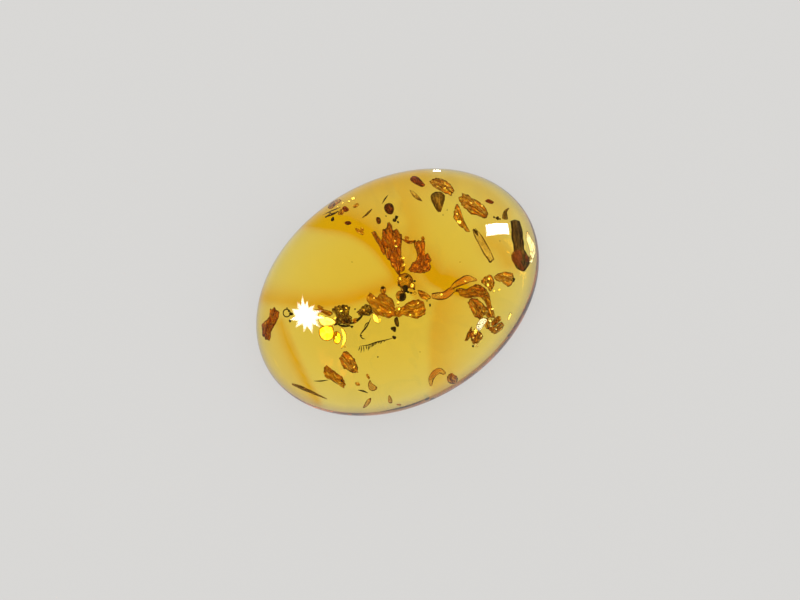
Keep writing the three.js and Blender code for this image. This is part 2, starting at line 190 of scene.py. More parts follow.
# Traced scraps: outline in the photograph's pixels, thickness in millimetres, roundness of the section,
# height of the folds in millimetres, and shade from pale to dark
HUSKS = {
    "husk_top": (
        [
            (430, 182), (435, 178), (442, 179), (448, 182), (453, 188), (454, 192), (451, 195), (446, 194),
            (441, 191), (435, 188),
        ],
        0.3, 4, 0.05, 0.1,
    ),
    "husk_large": (
        [
            (459, 198), (462, 194), (468, 195), (475, 199), (481, 203), (486, 208), (488, 214), (486, 218),
            (481, 217), (475, 215), (471, 214), (465, 209), (461, 204),
        ],
        0.3, 4, 0.07, 0.15,
    ),
    "husk_scale": (
        [
            (457, 204), (460, 208), (462, 214), (464, 220), (467, 226), (470, 232), (466, 231), (461, 227),
            (457, 223), (454, 218), (454, 210),
        ],
        0.25, 4, 0.04, 0.2,
    ),
    "husk_core": (
        [
            (456, 291), (459, 288), (466, 289), (472, 287), (477, 285), (483, 288), (487, 292), (488, 296),
            (482, 297), (475, 297), (469, 298), (461, 296),
        ],
        0.32, 5, 0.08, 0.5,
    ),
    "husk_plate": (
        [
            (468, 301), (473, 298), (479, 300), (485, 306), (487, 312), (483, 317), (478, 319), (473, 314),
            (470, 308),
        ],
        0.32, 5, 0.07, 0.4,
    ),
    "husk_side": (
        [(485, 296), (489, 297), (491, 305), (494, 313), (495, 318), (491, 317), (488, 310)],
        0.3, 4, 0.05, 0.35,
    ),
    "husk_bead": (
        [
            (494, 277), (499, 273), (506, 272), (512, 273), (514, 280), (512, 284), (508, 287), (503, 283),
            (497, 281),
        ],
        0.5, 2.5, 0.05, -0.1,
    ),
    "husk_crumb": (
        [(481, 282), (486, 276), (491, 275), (494, 280), (494, 286), (490, 291), (487, 287)],
        0.34, 4, 0.08, 0.05,
    ),
    "husk_low": (
        [(488, 328), (495, 326), (501, 322), (504, 326), (500, 331), (495, 334), (491, 332)],
        0.34, 4, 0.07, 0.25,
    ),
    "husk_curl": (
        [(491, 325), (493, 320), (498, 316), (500, 318), (498, 323), (494, 326)],
        0.24, 2.5, 0.03, 0.85,
    ),
    "husk_striped": (
        [(470, 333), (474, 330), (480, 332), (483, 336), (480, 341), (477, 344), (473, 344), (471, 340)],
        0.4, 4, 0.09, 0.55,
    ),
    "husk_bottom": (
        [
            (340, 357), (346, 351), (352, 356), (356, 362), (358, 369), (357, 373), (351, 372), (345, 369),
            (341, 364),
        ],
        0.3, 4, 0.07, 0.3,
    ),
    "chain_flake": (
        [(315, 310), (321, 309), (326, 310), (332, 312), (332, 315), (328, 316), (323, 313)],
        0.24, 4, 0.05, 0.6,
    ),
    "seed_round_brown": (
        [(447, 378), (449, 374), (454, 374), (458, 379), (456, 383), (452, 384), (448, 382)],
        0.5, 2, 0.015, 0.6,
    ),
}
LEAVES = {
    "leaf_scrap_left": (
        [
            (367, 297), (370, 293), (374, 296), (377, 297), (380, 294), (384, 293), (388, 296), (393, 301),
            (396, 308), (396, 315), (390, 318), (384, 317), (377, 315), (372, 310), (368, 303),
        ],
        0.26, 5, 0.06, 0.2,
    ),
    "leaf_scrap_right": (
        [
            (400, 309), (406, 304), (410, 301), (415, 300), (421, 300), (425, 306), (425, 313), (420, 318),
            (413, 318), (406, 316), (400, 314),
        ],
        0.26, 5, 0.07, 0.3,
    ),
    "leaf_wing": (
        [
            (326, 365), (334, 371), (342, 377), (345, 383), (344, 388), (340, 386), (334, 381), (327, 378),
            (324, 374),
        ],
        0.26, 4, 0.05, 0.55,
    ),
}
BARK = {
    "bark_scrap_left": (
        [
            (388, 225), (391, 224), (393, 229), (398, 232), (402, 236), (402, 245), (401, 253), (403, 262),
            (401, 271), (399, 274), (395, 271), (391, 264), (387, 258), (385, 251), (382, 242), (382, 236),
            (384, 231),
        ],
        0.5, 4, 0.1, 0.25,
    ),
    "bark_scrap_right": (
        [
            (414, 243), (419, 239), (424, 241), (425, 249), (425, 255), (428, 253), (431, 260), (430, 269),
            (426, 272), (421, 272), (414, 272), (409, 270), (412, 264), (416, 260), (417, 253),
        ],
        0.42, 4, 0.08, 0.45,
    ),
    "bark_strip": (
        [(402, 239), (407, 240), (412, 241), (416, 240), (415, 242), (410, 244), (405, 242)],
        0.18, 3, 0.02, 0.5,
    ),
    "bark_chip": (
        [
            (270, 309), (273, 308), (278, 311), (279, 316), (276, 323), (273, 327), (271, 333), (270, 339),
            (268, 340), (264, 338), (262, 332), (262, 325), (266, 320), (270, 315),
        ],
        0.42, 3, 0.09, 0.55,
    ),
}
KNOTS = {
    "knot_left": (
        [
            (332, 309), (337, 306), (344, 305), (350, 307), (349, 314), (352, 318), (351, 324), (345, 325),
            (339, 324), (333, 325), (336, 317),
        ],
        0.36, 3, 0.1, 0.25,
    ),
    "knot_middle": (
        [(357, 312), (361, 308), (366, 304), (370, 306), (373, 312), (368, 316), (363, 315), (360, 316)],
        0.34, 3, 0.08, 0.5,
    ),
}
SEEDS = {
    "seed_red_top": (
        [(410, 179), (413, 176), (418, 177), (422, 181), (425, 185), (422, 187), (417, 185), (412, 182)],
        0.4, 2, 0.015, 0.35,
    ),
    "seed_red_right": (
        [(485, 201), (488, 199), (491, 200), (494, 202), (492, 204), (488, 203)],
        0.3, 2, 0.01, 0.1,
    ),
    "seed_round_dark": (
        [(384, 207), (386, 204), (390, 203), (393, 205), (394, 210), (392, 214), (388, 214), (385, 211)],
        0.46, 2, 0.015, 0.9,
    ),
    "seed_small_dark": (
        [(376, 219), (377, 217), (380, 218), (381, 222), (379, 224), (377, 223)],
        0.3, 2, 0.01, 0.8,
    ),
    "seed_oval_orange": (
        [(342, 208), (345, 206), (348, 208), (349, 210), (346, 212), (343, 211)],
        0.28, 2, 0.01, 0.0,
    ),
    "seed_oval_dark": (
        [(345, 222), (348, 221), (351, 222), (351, 224), (348, 225), (345, 224)],
        0.22, 2, 0.01, 0.75,
    ),
}
WEDGES = {
    "seed_wedge": (
        [
            (431, 195), (435, 192), (441, 192), (445, 196), (444, 202), (442, 209), (440, 212), (437, 211),
            (434, 206), (431, 200),
        ],
        0.44, 3, 0.03, 0.42,
    ),
    "seed_wedge_small": (
        [(394, 320), (396, 317), (398, 318), (399, 326), (396, 326)],
        0.22, 2.5, 0.01, 1.0,
    ),
}
DROPS = {
    "drop_upper": (
        [(370, 380), (372, 383), (377, 387), (376, 390), (372, 391), (369, 389), (368, 384)],
        0.34, 2, 0.0, 0.4,
    ),
    "drop_left": (
        [(371, 398), (370, 403), (366, 407), (363, 408), (364, 405), (367, 400)],
        0.28, 2, 0.0, 0.5,
    ),
    "drop_right": ([(389, 395), (392, 399), (392, 403), (389, 403), (388, 400)], 0.26, 2, 0.0, 0.4),
}

# Bits, small flakes: outline in pixels, thickness in millimetres, and the solid whose plane they lie in
BITS = [
    ([(328, 207), (332, 202), (339, 199), (341, 201), (336, 205), (331, 209)], 0.16, "splinter_left"),
    ([(338, 212), (341, 209), (344, 210), (343, 214), (339, 215)], 0.14, "splinter_left"),
    ([(353, 206), (357, 203), (359, 205), (355, 208)], 0.1, "splinter_left"),
    ([(355, 228), (359, 229), (364, 233), (362, 235), (357, 232)], 0.12, "seed_oval_dark"),
    ([(360, 229), (362, 227), (364, 230), (362, 231)], 0.1, "seed_oval_dark"),
    ([(405, 236), (409, 237), (408, 240), (405, 239)], 0.12, "bark_strip"),
    ([(421, 238), (423, 236), (425, 239), (422, 241)], 0.12, "bark_scrap_right"),
    ([(399, 264), (402, 262), (405, 268), (402, 272), (399, 270)], 0.2, "bark_scrap_left"),
    ([(418, 290), (425, 292), (431, 297), (427, 300), (420, 297)], 0.14, "leaf_scrap_right"),
    ([(380, 291), (382, 286), (385, 287), (386, 291), (384, 294)], 0.16, "leaf_scrap_left"),
    ([(318, 305), (323, 307), (322, 310), (318, 308)], 0.12, "chain_flake"),
    ([(352, 320), (356, 318), (359, 320), (355, 323)], 0.14, "knot_left"),
    (
        [(479, 288), (485, 288), (489, 294), (491, 303), (488, 307), (484, 301), (480, 296)],
        0.22, "husk_core",
    ),
    ([(466, 292), (473, 289), (478, 291), (476, 295), (470, 297)], 0.3, "husk_core"),
    ([(484, 309), (488, 307), (491, 312), (490, 318), (486, 316)], 0.24, "husk_plate"),
    ([(484, 318), (489, 319), (490, 326), (487, 329), (484, 324)], 0.14, "husk_plate"),
    ([(497, 318), (500, 316), (501, 320), (498, 322)], 0.1, "husk_low"),
    ([(366, 375), (368, 374), (370, 378), (368, 379)], 0.08, "drop_upper"),
    ([(355, 383), (358, 382), (360, 385), (357, 386)], 0.08, "drop_upper"),
    ([(397, 404), (401, 404), (400, 406), (397, 405)], 0.08, "drop_right"),
]
BUD = [
    (511, 256), (514, 251), (519, 249), (525, 252), (529, 258), (527, 265), (524, 271), (522, 271),
    (517, 268), (513, 262),
]
BUD_THICKNESS = 0.95

# Further lobes of the traced scraps
LOBES = {
    "bark_scrap_left": [
        [
            (372, 233), (375, 231), (378, 236), (382, 241), (384, 247), (386, 255), (382, 253), (379, 246),
            (375, 240),
        ],
        [(388, 229), (389, 222), (392, 226), (393, 234), (390, 236)],
        [(382, 234), (383, 229), (385, 230), (387, 237), (384, 240)],
        [(394, 231), (397, 229), (400, 234), (401, 240), (396, 238)],
    ],
    "bark_scrap_right": [
        [(409, 270), (412, 264), (417, 259), (425, 255), (430, 262), (430, 270), (424, 273), (415, 273)],
    ],
    "leaf_scrap_right": [[(394, 312), (397, 307), (402, 308), (404, 313), (400, 317), (396, 316)]],
    "husk_core": [[(470, 289), (474, 285), (480, 285), (486, 290), (486, 296), (478, 296)]],
    "husk_striped": [[(465, 341), (468, 333), (471, 327), (472, 331), (469, 339)]],
}

# Sticks: path in the photograph's pixels, widths along it in millimetres, flatness, and shade
TWIGS = {
    "bark_twig": (
        [(515, 221), (517, 230), (518, 240), (519, 249), (521, 258), (523, 266), (524, 271)],
        [0.62, 0.72, 0.7, 0.66, 1.06, 0.9, 0.2], 0.8, 0.8,
    ),
    "stick_edge": (
        [(292, 384), (300, 387), (309, 391), (318, 395), (327, 399)],
        [0.12, 0.24, 0.2, 0.14, 0.05], 0.8, 0.2,
    ),
    "splinter_left": ([(325, 217), (330, 215), (335, 213), (338, 211)], [0.06, 0.16, 0.14, 0.05], 0.9, 0.9),
    "thorn_hook": ([(509, 208), (506, 211), (505, 215), (505, 219)], [0.05, 0.16, 0.28, 0.3], 0.8, 0.3),
}
STRAWS = {
    "straw": (
        [(474, 229), (478, 236), (483, 245), (488, 254), (492, 261)],
        [0.2, 0.42, 0.44, 0.46, 0.3], 0.5, 0.25,
    ),
    "sliver_olive": ([(410, 190), (414, 194), (418, 198), (422, 201)], [0.06, 0.24, 0.22, 0.05], 0.6, 1.0),
    "splinter_top": ([(372, 209), (369, 212), (366, 215), (362, 218)], [0.06, 0.16, 0.14, 0.04], 0.8, 0.6),
}
LINKS = {
    "twig_link_near": (
        [(432, 296), (438, 296), (445, 295), (451, 291), (455, 290)],
        [0.3, 0.44, 0.44, 0.4, 0.2], 0.7, 0.6,
    ),
    "twig_link_far": (
        [(450, 289), (455, 285), (461, 282), (468, 279), (477, 280)],
        [0.14, 0.3, 0.4, 0.46, 0.1], 0.7, 0.5,
    ),
    "husk_arch": (
        [(431, 386), (431, 379), (435, 373), (440, 371), (445, 374)],
        [0.14, 0.34, 0.42, 0.38, 0.18], 0.8, 0.6,
    ),
}

# Hairs: path in pixels, width in millimetres, and the solid whose plane they lie in
HAIRS = {
    "fringe": ([(360, 346), (368, 345), (377, 342), (386, 340), (393, 338)], 0.075, "seed_wedge_small"),
    "antenna": ([(371, 318), (367, 326), (363, 331), (360, 335)], 0.1, "knot_middle"),
    "antenna_fork": ([(369, 322), (366, 324), (364, 328)], 0.07, "knot_middle"),
    "antenna_foot": ([(360, 335), (362, 338), (365, 339)], 0.07, "knot_middle"),
    "stem": ([(349, 324), (355, 322), (360, 318), (363, 315)], 0.16, "knot_middle"),
    "foot": ([(337, 324), (343, 326), (351, 326)], 0.14, "knot_left"),
    "needle_high": ([(388, 195), (385, 199), (382, 204)], 0.09, "seed_round_dark"),
    "wing_vein": ([(314, 381), (321, 381), (328, 380)], 0.08, "leaf_wing"),
    "wing_tip": ([(338, 378), (342, 381), (344, 386)], 0.22, "leaf_wing"),
    "wing_edge": ([(324, 371), (330, 378), (337, 383), (344, 387)], 0.12, "leaf_wing"),
    "sliver_low": ([(358, 390), (363, 391), (368, 393)], 0.12, "drop_upper"),
    "splinter_low": ([(466, 340), (468, 334), (472, 327)], 0.12, "husk_striped"),
    "twig_high": ([(323, 215), (329, 212), (336, 209), (341, 207)], 0.09, "splinter_left"),
    "straw_hook": ([(487, 256), (490, 262), (494, 258)], 0.1, "straw"),
    "straw_head": ([(473, 229), (476, 232), (478, 236)], 0.2, "straw"),
}
FRINGE_HAIRS = 12
FRINGE_REACH = 6.5  # pixels

# The hair ring, in millimetres: its hair's width, and how far inside its solid's edge the hair runs
RING_WIDTH = 0.07
RING_INSET = 0.04
RING_STEPS = 16

# Crumbs: place in pixels, size in millimetres, and the solid whose plane they lie in
CRUMBS = [
    ((396.5, 217), 0.2, "seed_round_dark"), ((394.5, 220), 0.22, "seed_round_dark"),
    ((398, 222), 0.12, "seed_round_dark"), ((386, 216), 0.08, "seed_round_dark"),
    ((497, 218), 0.2, "thorn_hook"), ((494, 217), 0.12, "thorn_hook"), ((500, 219), 0.1, "thorn_hook"),
    ((394, 337), 0.22, "seed_wedge_small"), ((291, 314), 0.2, "hair_ring"), ((289, 311), 0.14, "hair_ring"),
    ((287, 308), 0.08, "hair_ring"), ((290, 321), 0.16, "hair_ring"),
    ((430, 305), 0.16, "leaf_scrap_right"), ((427, 301), 0.08, "leaf_scrap_right"),
    ((383, 288), 0.22, "leaf_scrap_left"), ((384, 292), 0.12, "leaf_scrap_left"),
    ((355, 309), 0.1, "knot_middle"), ((352, 327), 0.14, "knot_left"), ((361, 336), 0.12, "knot_middle"),
    ((378, 357), 0.08, "seed_wedge_small"), ((447, 210), 0.06, "seed_wedge"),
    ((443, 215), 0.06, "seed_wedge"), ((405, 288.5), 0.36, "leaf_scrap_left"),
    ((401.5, 297), 0.44, "leaf_scrap_left"), ((398, 294.5), 0.14, "leaf_scrap_left"),
    ((408, 292), 0.16, "leaf_scrap_left"), ((406, 277), 0.14, "leaf_scrap_left"),
    ((410, 280), 0.12, "leaf_scrap_left"), ((393.5, 329), 0.3, "seed_wedge_small"),
    ((343, 321), 0.3, "knot_left"), ((348, 322), 0.28, "knot_left"), ((335, 324), 0.2, "knot_left"),
    ((333, 219), 0.26, "splinter_left"), ((334, 205), 0.2, "splinter_left"),
    ((330, 213), 0.12, "splinter_left"), ((326, 217), 0.1, "splinter_left"), ((500, 241), 0.06, "straw"),
    ((473, 346), 0.14, "husk_striped"), ((513, 280), 0.24, "husk_bead"),
    ((407.5, 276), 0.12, "resin_beads"), ((414.5, 281), 0.14, "resin_beads"),
    ((414, 289), 0.12, "resin_beads"), ((411, 293), 0.14, "resin_beads"), ((399, 285), 0.14, "resin_beads"),
]

# Clear beads and gas bubbles: place in pixels, diameter in millimetres, height above the back in millimetres
BEADS = [
    ((405, 281), 1.0, 3.55), ((404, 289), 0.42, 3.75), ((401, 296), 0.66, 3.6), ((412, 286), 0.4, 3.9),
]
BUBBLES = [
    ((399, 278), 0.24, 4.3), ((415, 293), 0.2, 4.2), ((486, 311), 0.3, 3.3), ((491, 320), 0.2, 3.2),
    ((345, 347), 0.12, 3.6), ((460, 262), 0.08, 4.4), ((352, 262), 0.07, 4.6), ((420, 352), 0.07, 4.0),
    ((398, 304), 0.14, 4.3), ((403, 259), 0.16, 4.2), ((330, 214), 0.16, 2.6),
]


def unit(vectors):
    """Vectors of length 1."""
    return vectors / np.linalg.norm(vectors, axis=-1, keepdims=True)


def dot(a, b):
    """Products of vectors, kept as a column."""
    return np.sum(a * b, axis=-1, keepdims=True)


def refracted(directions, normals, ratio):
    """Snell's law for directions that meet normals from the front: ratio is the index before over that
    after."""
    facing = -dot(directions, normals)
    return ratio * directions + (ratio * facing - np.sqrt(1 - ratio**2 * (1 - facing**2))) * normals


def reflected(directions, normals):
    """Directions mirrored in a surface with these normals."""
    return directions - 2 * dot(directions, normals) * normals


class Stone:
    """The stone's outer form: a flat back, an edge that is a quarter ellipse, and a dome.

    share is how far a point lies out from the axis, as a part of the oval outline, and rise how far above the
    girdle, as a part of the dome: the dome is where share ** fullness + rise ** 2 = 1.
    """

    def __init__(self, settings):
        self.half = (HIGH - LOW)[:2] / 2
        self.height = HIGH[2]
        self.girdle = settings.girdle_height
        self.back_share = settings.back_share
        self.fullness = settings.dome_fullness
        self.index = settings.refraction

    def profile(self):
        """Shares and heights from the middle of the back to the top: out over the back, round the edge,
        over the dome."""
        flat = np.arange(1, BACK_RINGS + 1) / BACK_RINGS * self.back_share
        turn = np.arange(1, EDGE_RINGS + 1) / EDGE_RINGS * math.pi / 2
        edge = 1 - (1 - self.back_share) * (1 - np.sin(turn))
        climb = np.arange(1, DOME_RINGS) / DOME_RINGS * math.pi / 2
        shares = np.concatenate([flat, edge, np.cos(climb) ** (2 / self.fullness)])
        heights = np.concatenate([
            np.zeros(BACK_RINGS),
            self.girdle * (1 - np.cos(turn)),
            self.girdle + (self.height - self.girdle) * np.sin(climb),
        ])
        return shares, heights

    def outside(self, points):
        """How far points lie outside the surface: negative inside, and zero on it."""
        share = np.hypot(points[..., 0] / self.half[0], points[..., 1] / self.half[1])
        rise = (points[..., 2] - self.girdle) / (self.height - self.girdle)
        sunk = np.clip(points[..., 2] / self.girdle, 0, 1)
        edge = 1 - (1 - self.back_share) * (1 - np.sqrt(1 - (1 - sunk) ** 2))
        below = np.maximum(share / edge - 1, -points[..., 2] / self.height)
        return np.where(rise > 0, share**self.fullness + rise**2 - 1, below)

    def normals(self, points):
        """Outward normals of the dome: the gradient of its equation."""
        flat = points[..., :2] / self.half
        share = np.linalg.norm(flat, axis=-1, keepdims=True)
        outward = self.fullness * share ** (self.fullness - 2) * flat / self.half
        dome = self.height - self.girdle
        upward = 2 * (points[..., 2:] - self.girdle) / dome**2
        return unit(np.concatenate([outward, upward], axis=-1))

    def crossing(self, starts, directions, outer, inner):
        """Where rays cross the dome, by halving the stretch between a length outside it and one inside it."""
        for _ in range(HALVINGS):
            middle = (outer + inner) / 2
            beyond = self.outside(starts + middle * directions)[..., None] > 0
            outer = np.where(beyond, middle, outer)
            inner = np.where(beyond, inner, middle)
        return starts + inner * directions


class Sight:
    """The photograph's lines of sight, bent where they enter the stone."""

    def __init__(self, stone):
        self.stone = stone
        level = math.cos(VIEW_ELEVATION)
        self.back = np.array([
            math.sin(VIEW_AZIMUTH) * level, -math.cos(VIEW_AZIMUTH) * level, math.sin(VIEW_ELEVATION),
        ])
        upright = np.array([math.sin(VIEW_ROLL), math.cos(VIEW_ROLL), 0.0])
        self.right = unit(np.cross(upright, self.back))
        self.up = np.cross(self.back, self.right)
        shift = (PHOTO_SIZE / 2 - OUTLINE_CENTRE) / PIXELS_PER_METRE
        self.target = np.array([0, 0, stone.girdle]) + shift[0] * self.right - shift[1] * self.up
        self.eye = self.target + VIEW_DISTANCE * self.back

    def entering(self, pixels):
        """Where lines of sight meet the dome, the dome's normals there, and the lines' directions."""
        offset = (np.asarray(pixels, float) - PHOTO_SIZE / 2) / PIXELS_PER_METRE
        across = offset[:, :1] * self.right - offset[:, 1:] * self.up
        directions = unit(across - VIEW_DISTANCE * self.back)
        to_top = (self.stone.height - self.eye[2]) / directions[:, 2:]
        to_girdle = (self.stone.girdle - self.eye[2]) / directions[:, 2:]
        places = self.stone.crossing(self.eye, directions, to_top, to_girdle)
        return places, self.stone.normals(places), directions

    def inside(self, pixels):
        """Where lines of sight enter the stone, and their directions in it."""
        places, normals, directions = self.entering(pixels)
        return places, refracted(directions, normals, 1 / self.stone.index)

    def on_plane(self, pixels, middle, normal):
        """Where lines of sight inside the stone meet a plane."""
        places, directions = self.inside(pixels)
        return places + dot(middle - places, normal) / dot(directions, normal) * directions

    def at_height(self, pixels, height):
        """Where lines of sight inside the stone are at a height above the back."""
        return self.on_plane(pixels, np.array([0, 0, height]), np.array([0, 0, 1.0]))

    def card(self, outline, distance):
        """The outline of a card whose mirror image in the dome has this outline in the photograph."""
        places, normals, directions = self.entering(outline)
        return places + distance * reflected(directions, normals)

    def towards(self, place, goal):
        """The direction in which light from a goal outside reaches a place in the stone, bent at the dome."""
        aim = unit(goal - place)
        reach = np.array([4 * self.stone.half[0]])
        for _ in range(BENDS):
            leaving = self.stone.crossing(place, aim, reach, np.zeros(1))
            arriving = unit(leaving - goal)
            aim = -refracted(arriving, self.stone.normals(leaving), 1 / self.stone.index)
        return aim


@dataclass
class Shape:
    """A closed surface: points, faces, and the values that its points carry to the materials.

    rim is 0 in the middle of a scrap and 1 at its edge, and lie is the place along, across and through it in
    millimetres.
    """

    points: np.ndarray
    quads: np.ndarray
    triangles: np.ndarray
    rim: np.ndarray
    lie: np.ndarray

    def volume(self):
        """Volume inside the faces: the sum of the tetrahedra from each triangle to the origin."""
        corners = np.concatenate([self.triangles, self.quads[:, [0, 1, 2]], self.quads[:, [0, 2, 3]]])
        a, b, c = (self.points[corners[:, i]] for i in range(3))
        return np.sum(a * np.cross(b, c)) / 6

    def turned(self, hollow=False):
        """The same surface with its faces pointing out, or into a hollow."""
        if (self.volume() < 0) != hollow:
            self.quads = self.quads[:, ::-1]
            self.triangles = self.triangles[:, ::-1]
        return self


def closed(rings, first, last, rim, lie, hollow=False):
    """A closed shape of rings of points in order, with a fan to a pole at each end.

    rim and lie are the rings' values. A pole takes the mean of its ring.
    """
    count, sides = rings.shape[:2]
    points = np.concatenate([[first], rings.reshape(-1, 3), [last]])
    ring = 1 + np.arange(count * sides).reshape(count, sides)
    after = np.roll(ring, -1, axis=1)
    quads = np.stack([ring[:-1], after[:-1], after[1:], ring[1:]], axis=-1).reshape(-1, 4)
    start = np.stack([np.zeros_like(ring[0]), after[0], ring[0]], axis=-1)
    end = np.stack([np.full_like(ring[-1], len(points) - 1), ring[-1], after[-1]], axis=-1)
    rim = np.concatenate([[rim[0].mean()], rim.ravel(), [rim[-1].mean()]])
    lie = np.concatenate([[lie[0].mean(0)], lie.reshape(-1, 3), [lie[-1].mean(0)]])
    return Shape(points, quads, np.concatenate([start, end]), rim, lie).turned(hollow)


def joined(shapes):
    """Several shapes as one."""
    starts = np.cumsum([0] + [len(shape.points) for shape in shapes[:-1]])
    return Shape(
        np.concatenate([shape.points for shape in shapes]),
        np.concatenate([shape.quads + start for shape, start in zip(shapes, starts)]),
        np.concatenate([shape.triangles + start for shape, start in zip(shapes, starts)]),
        np.concatenate([shape.rim for shape in shapes]),
        np.concatenate([shape.lie for shape in shapes]),
    )


def smooth(points, count, loop):
    """A Catmull-Rom curve through points, at count places: a cubic between each two, with the slope of its
    neighbours' chord at each."""
    points = np.asarray(points, float)
    spans = len(points) if loop else len(points) - 1
    place = np.arange(count) / (count if loop else count - 1) * spans
    span = np.minimum(place.astype(int), spans - 1)
    t = (place - span)[:, None]
    index = span[:, None] + np.arange(-1, 3)
    index = index % len(points) if loop else np.clip(index, 0, len(points) - 1)
    a, b, c, d = (points[index[:, i]] for i in range(4))
    return b + t / 2 * (c - a + t * (2 * a - 5 * b + 4 * c - d + t * (3 * (b - c) + d - a)))


def steady_draw(name):
    """A source of random numbers that is the same for a name at each run."""
    return np.random.default_rng(sum(map(ord, name)))


def waves(name, count, height, along, across):
    """A relief over a scrap: the mean of count sine waves with steady phases of their own, along and across
    being the most waves for each millimetre that way."""
    draw = steady_draw(name)
    turns = np.stack([draw.uniform(-along, along, count), draw.uniform(across / 3, across, count)])
    turns = 2 * math.pi * turns
    phases = draw.uniform(0, 2 * math.pi, count)
    return lambda lie: height * np.sin(lie[..., :2] @ turns + phases).mean(-1) * math.sqrt(count)


def ribs(name, height):
    """Ribs along a stick: sine waves round it, with whole numbers of waves that twist along it by steady
    amounts."""
    draw = steady_draw(name)
    rounds = draw.integers(2, 11, RIB_WAVES)
    twists = draw.uniform(-6, 6, RIB_WAVES)
    phases = draw.uniform(0, 2 * math.pi, RIB_WAVES)

    def rise(length, angle):
        wave = np.sin(length[..., None] * twists + angle[..., None] * rounds + phases)
        return height * wave.mean(-1) * math.sqrt(RIB_WAVES)

    return rise


def torn(name, edge, depth):
    """An edge curve with notches: its reach from the middle changes by sine waves round it, the finer the
    lower."""
    draw = steady_draw(name)
    rates = np.arange(5, 24)
    angle = np.arange(len(edge))[:, None] / len(edge) * 2 * math.pi
    waves_round = np.sin(rates * angle + draw.uniform(0, 2 * math.pi, len(rates))) / np.sqrt(rates / 5)
    middle = edge.mean(0)
    return middle + (1 + depth * waves_round.mean(1, keepdims=True) * math.sqrt(len(rates))) * (edge - middle)


def pillow(edge, normal, thick, roundness, relief=None):
    """A scrap inside an edge curve. At share s of the way from its middle to the edge its two faces lie
    0.5 * thick * (1 - s ** roundness) ** 0.5 to either side of a mid-surface, which the relief lifts."""
    middle = edge.mean(0)
    along = np.linalg.svd(edge - middle, full_matrices=False)[2][0]
    along = unit(along - along @ normal * normal)
    axes = np.stack([along, np.cross(normal, along)], axis=-1)
    outward = np.arange(1, SCRAP_RINGS + 1) / SCRAP_RINGS
    share = np.concatenate([outward, outward[-2::-1]])[:, None]
    side = np.where(np.arange(len(share)) < SCRAP_RINGS, 1, -1)[:, None]
    flat = middle + share[..., None] * (edge - middle)
    lie = np.zeros(flat.shape)
    lie[..., :2] = (flat - middle) @ axes / MM
    lift = relief(lie) * MM if relief else np.zeros(flat.shape[:2])
    lift = lift * (1 - 0.6 * share**4)
    half = 0.5 * thick * np.sqrt(1 - share**roundness)
    lie[..., 2] = (lift + side * half) / MM
    rings = flat + (lift + side * half)[..., None] * normal
    rise = relief(np.zeros(3)) * MM if relief else 0.0
    poles = [middle + (rise + way * 0.5 * thick) * normal for way in (1, -1)]
    return closed(rings, *poles, share * np.ones(rings.shape[:2]), lie)


def stick(path, widths, normal, flatness, ridges=None, sides=STICK_SIDES, rings=STICK_RINGS):
    """A round or flat profile carried along a path. Its half width follows the widths, flatness is its height
    over its width, and the ridges add to its radius as a share."""
    spine = smooth(path, rings, False)
    half = 0.5 * np.maximum(smooth(np.asarray(widths)[:, None], rings, False), 0.02 * MM)
    tangent = unit(np.gradient(spine, axis=0))
    sideways = unit(np.cross(normal, tangent))
    upward = np.cross(tangent, sideways)
    angle = np.arange(sides) / sides * 2 * math.pi
    length = np.linalg.norm(np.gradient(spine, axis=0), axis=1).cumsum() / MM
    lie = np.zeros((rings, sides, 3))
    lie[..., 0] = length[:, None]
    lie[..., 1] = half / MM * np.cos(angle)
    lie[..., 2] = half / MM * np.sin(angle)
    radius = half * np.ones(sides)
    if ridges:
        radius = radius * (1 + ridges(length[:, None], angle))
    rings_out = (
        spine[:, None]
        + (radius * np.cos(angle))[..., None] * sideways[:, None]
        + (radius * flatness * np.sin(angle))[..., None] * upward[:, None]
    )
    rim = np.broadcast_to(np.abs(np.cos(angle)), radius.shape)
    tips = [spine[0] - 0.3 * half[0] * tangent[0], spine[-1] + 0.3 * half[-1] * tangent[-1]]
    return closed(rings_out, *tips, rim, lie)


def ball(centre, diameter, relief=None, hollow=False):
    """A ball: rings at even steps of latitude, and the relief adds to its radius as a share."""
    tilt = np.arange(1, BALL_RINGS + 1)[:, None] / (BALL_RINGS + 1) * math.pi
    angle = np.arange(BALL_SIDES) / BALL_SIDES * 2 * math.pi
    way = np.stack([
        np.sin(tilt) * np.cos(angle), np.sin(tilt) * np.sin(angle), np.cos(tilt) * np.ones(BALL_SIDES),
    ], axis=-1)
    radius = 0.5 * diameter * (1 + (relief(way) if relief else 0.0))
    radius = np.broadcast_to(radius, way.shape[:2])[..., None]
    upright = np.array([0, 0, 0.5 * diameter])
    rim = np.sin(tilt) * np.ones(BALL_SIDES)
    lie = way * 0.5 * diameter / MM
    return closed(centre + radius * way, centre + upright, centre - upright, rim, lie, hollow)


def node_plane(node):
    """The middle of a solid and the normal of the plane that it lies in: the direction of its least
    spread."""
    mesh = frame["nodes"][node].data
    points = np.empty(3 * len(mesh.vertices), np.float32)
    mesh.vertices.foreach_get("co", points)
    points = np.unique(points.reshape(-1, 3).astype(float), axis=0)
    middle = (points.min(0) + points.max(0)) / 2
    normal = np.linalg.svd(points - points.mean(0), full_matrices=False)[2][2]
    return middle, normal * np.sign(normal[2])


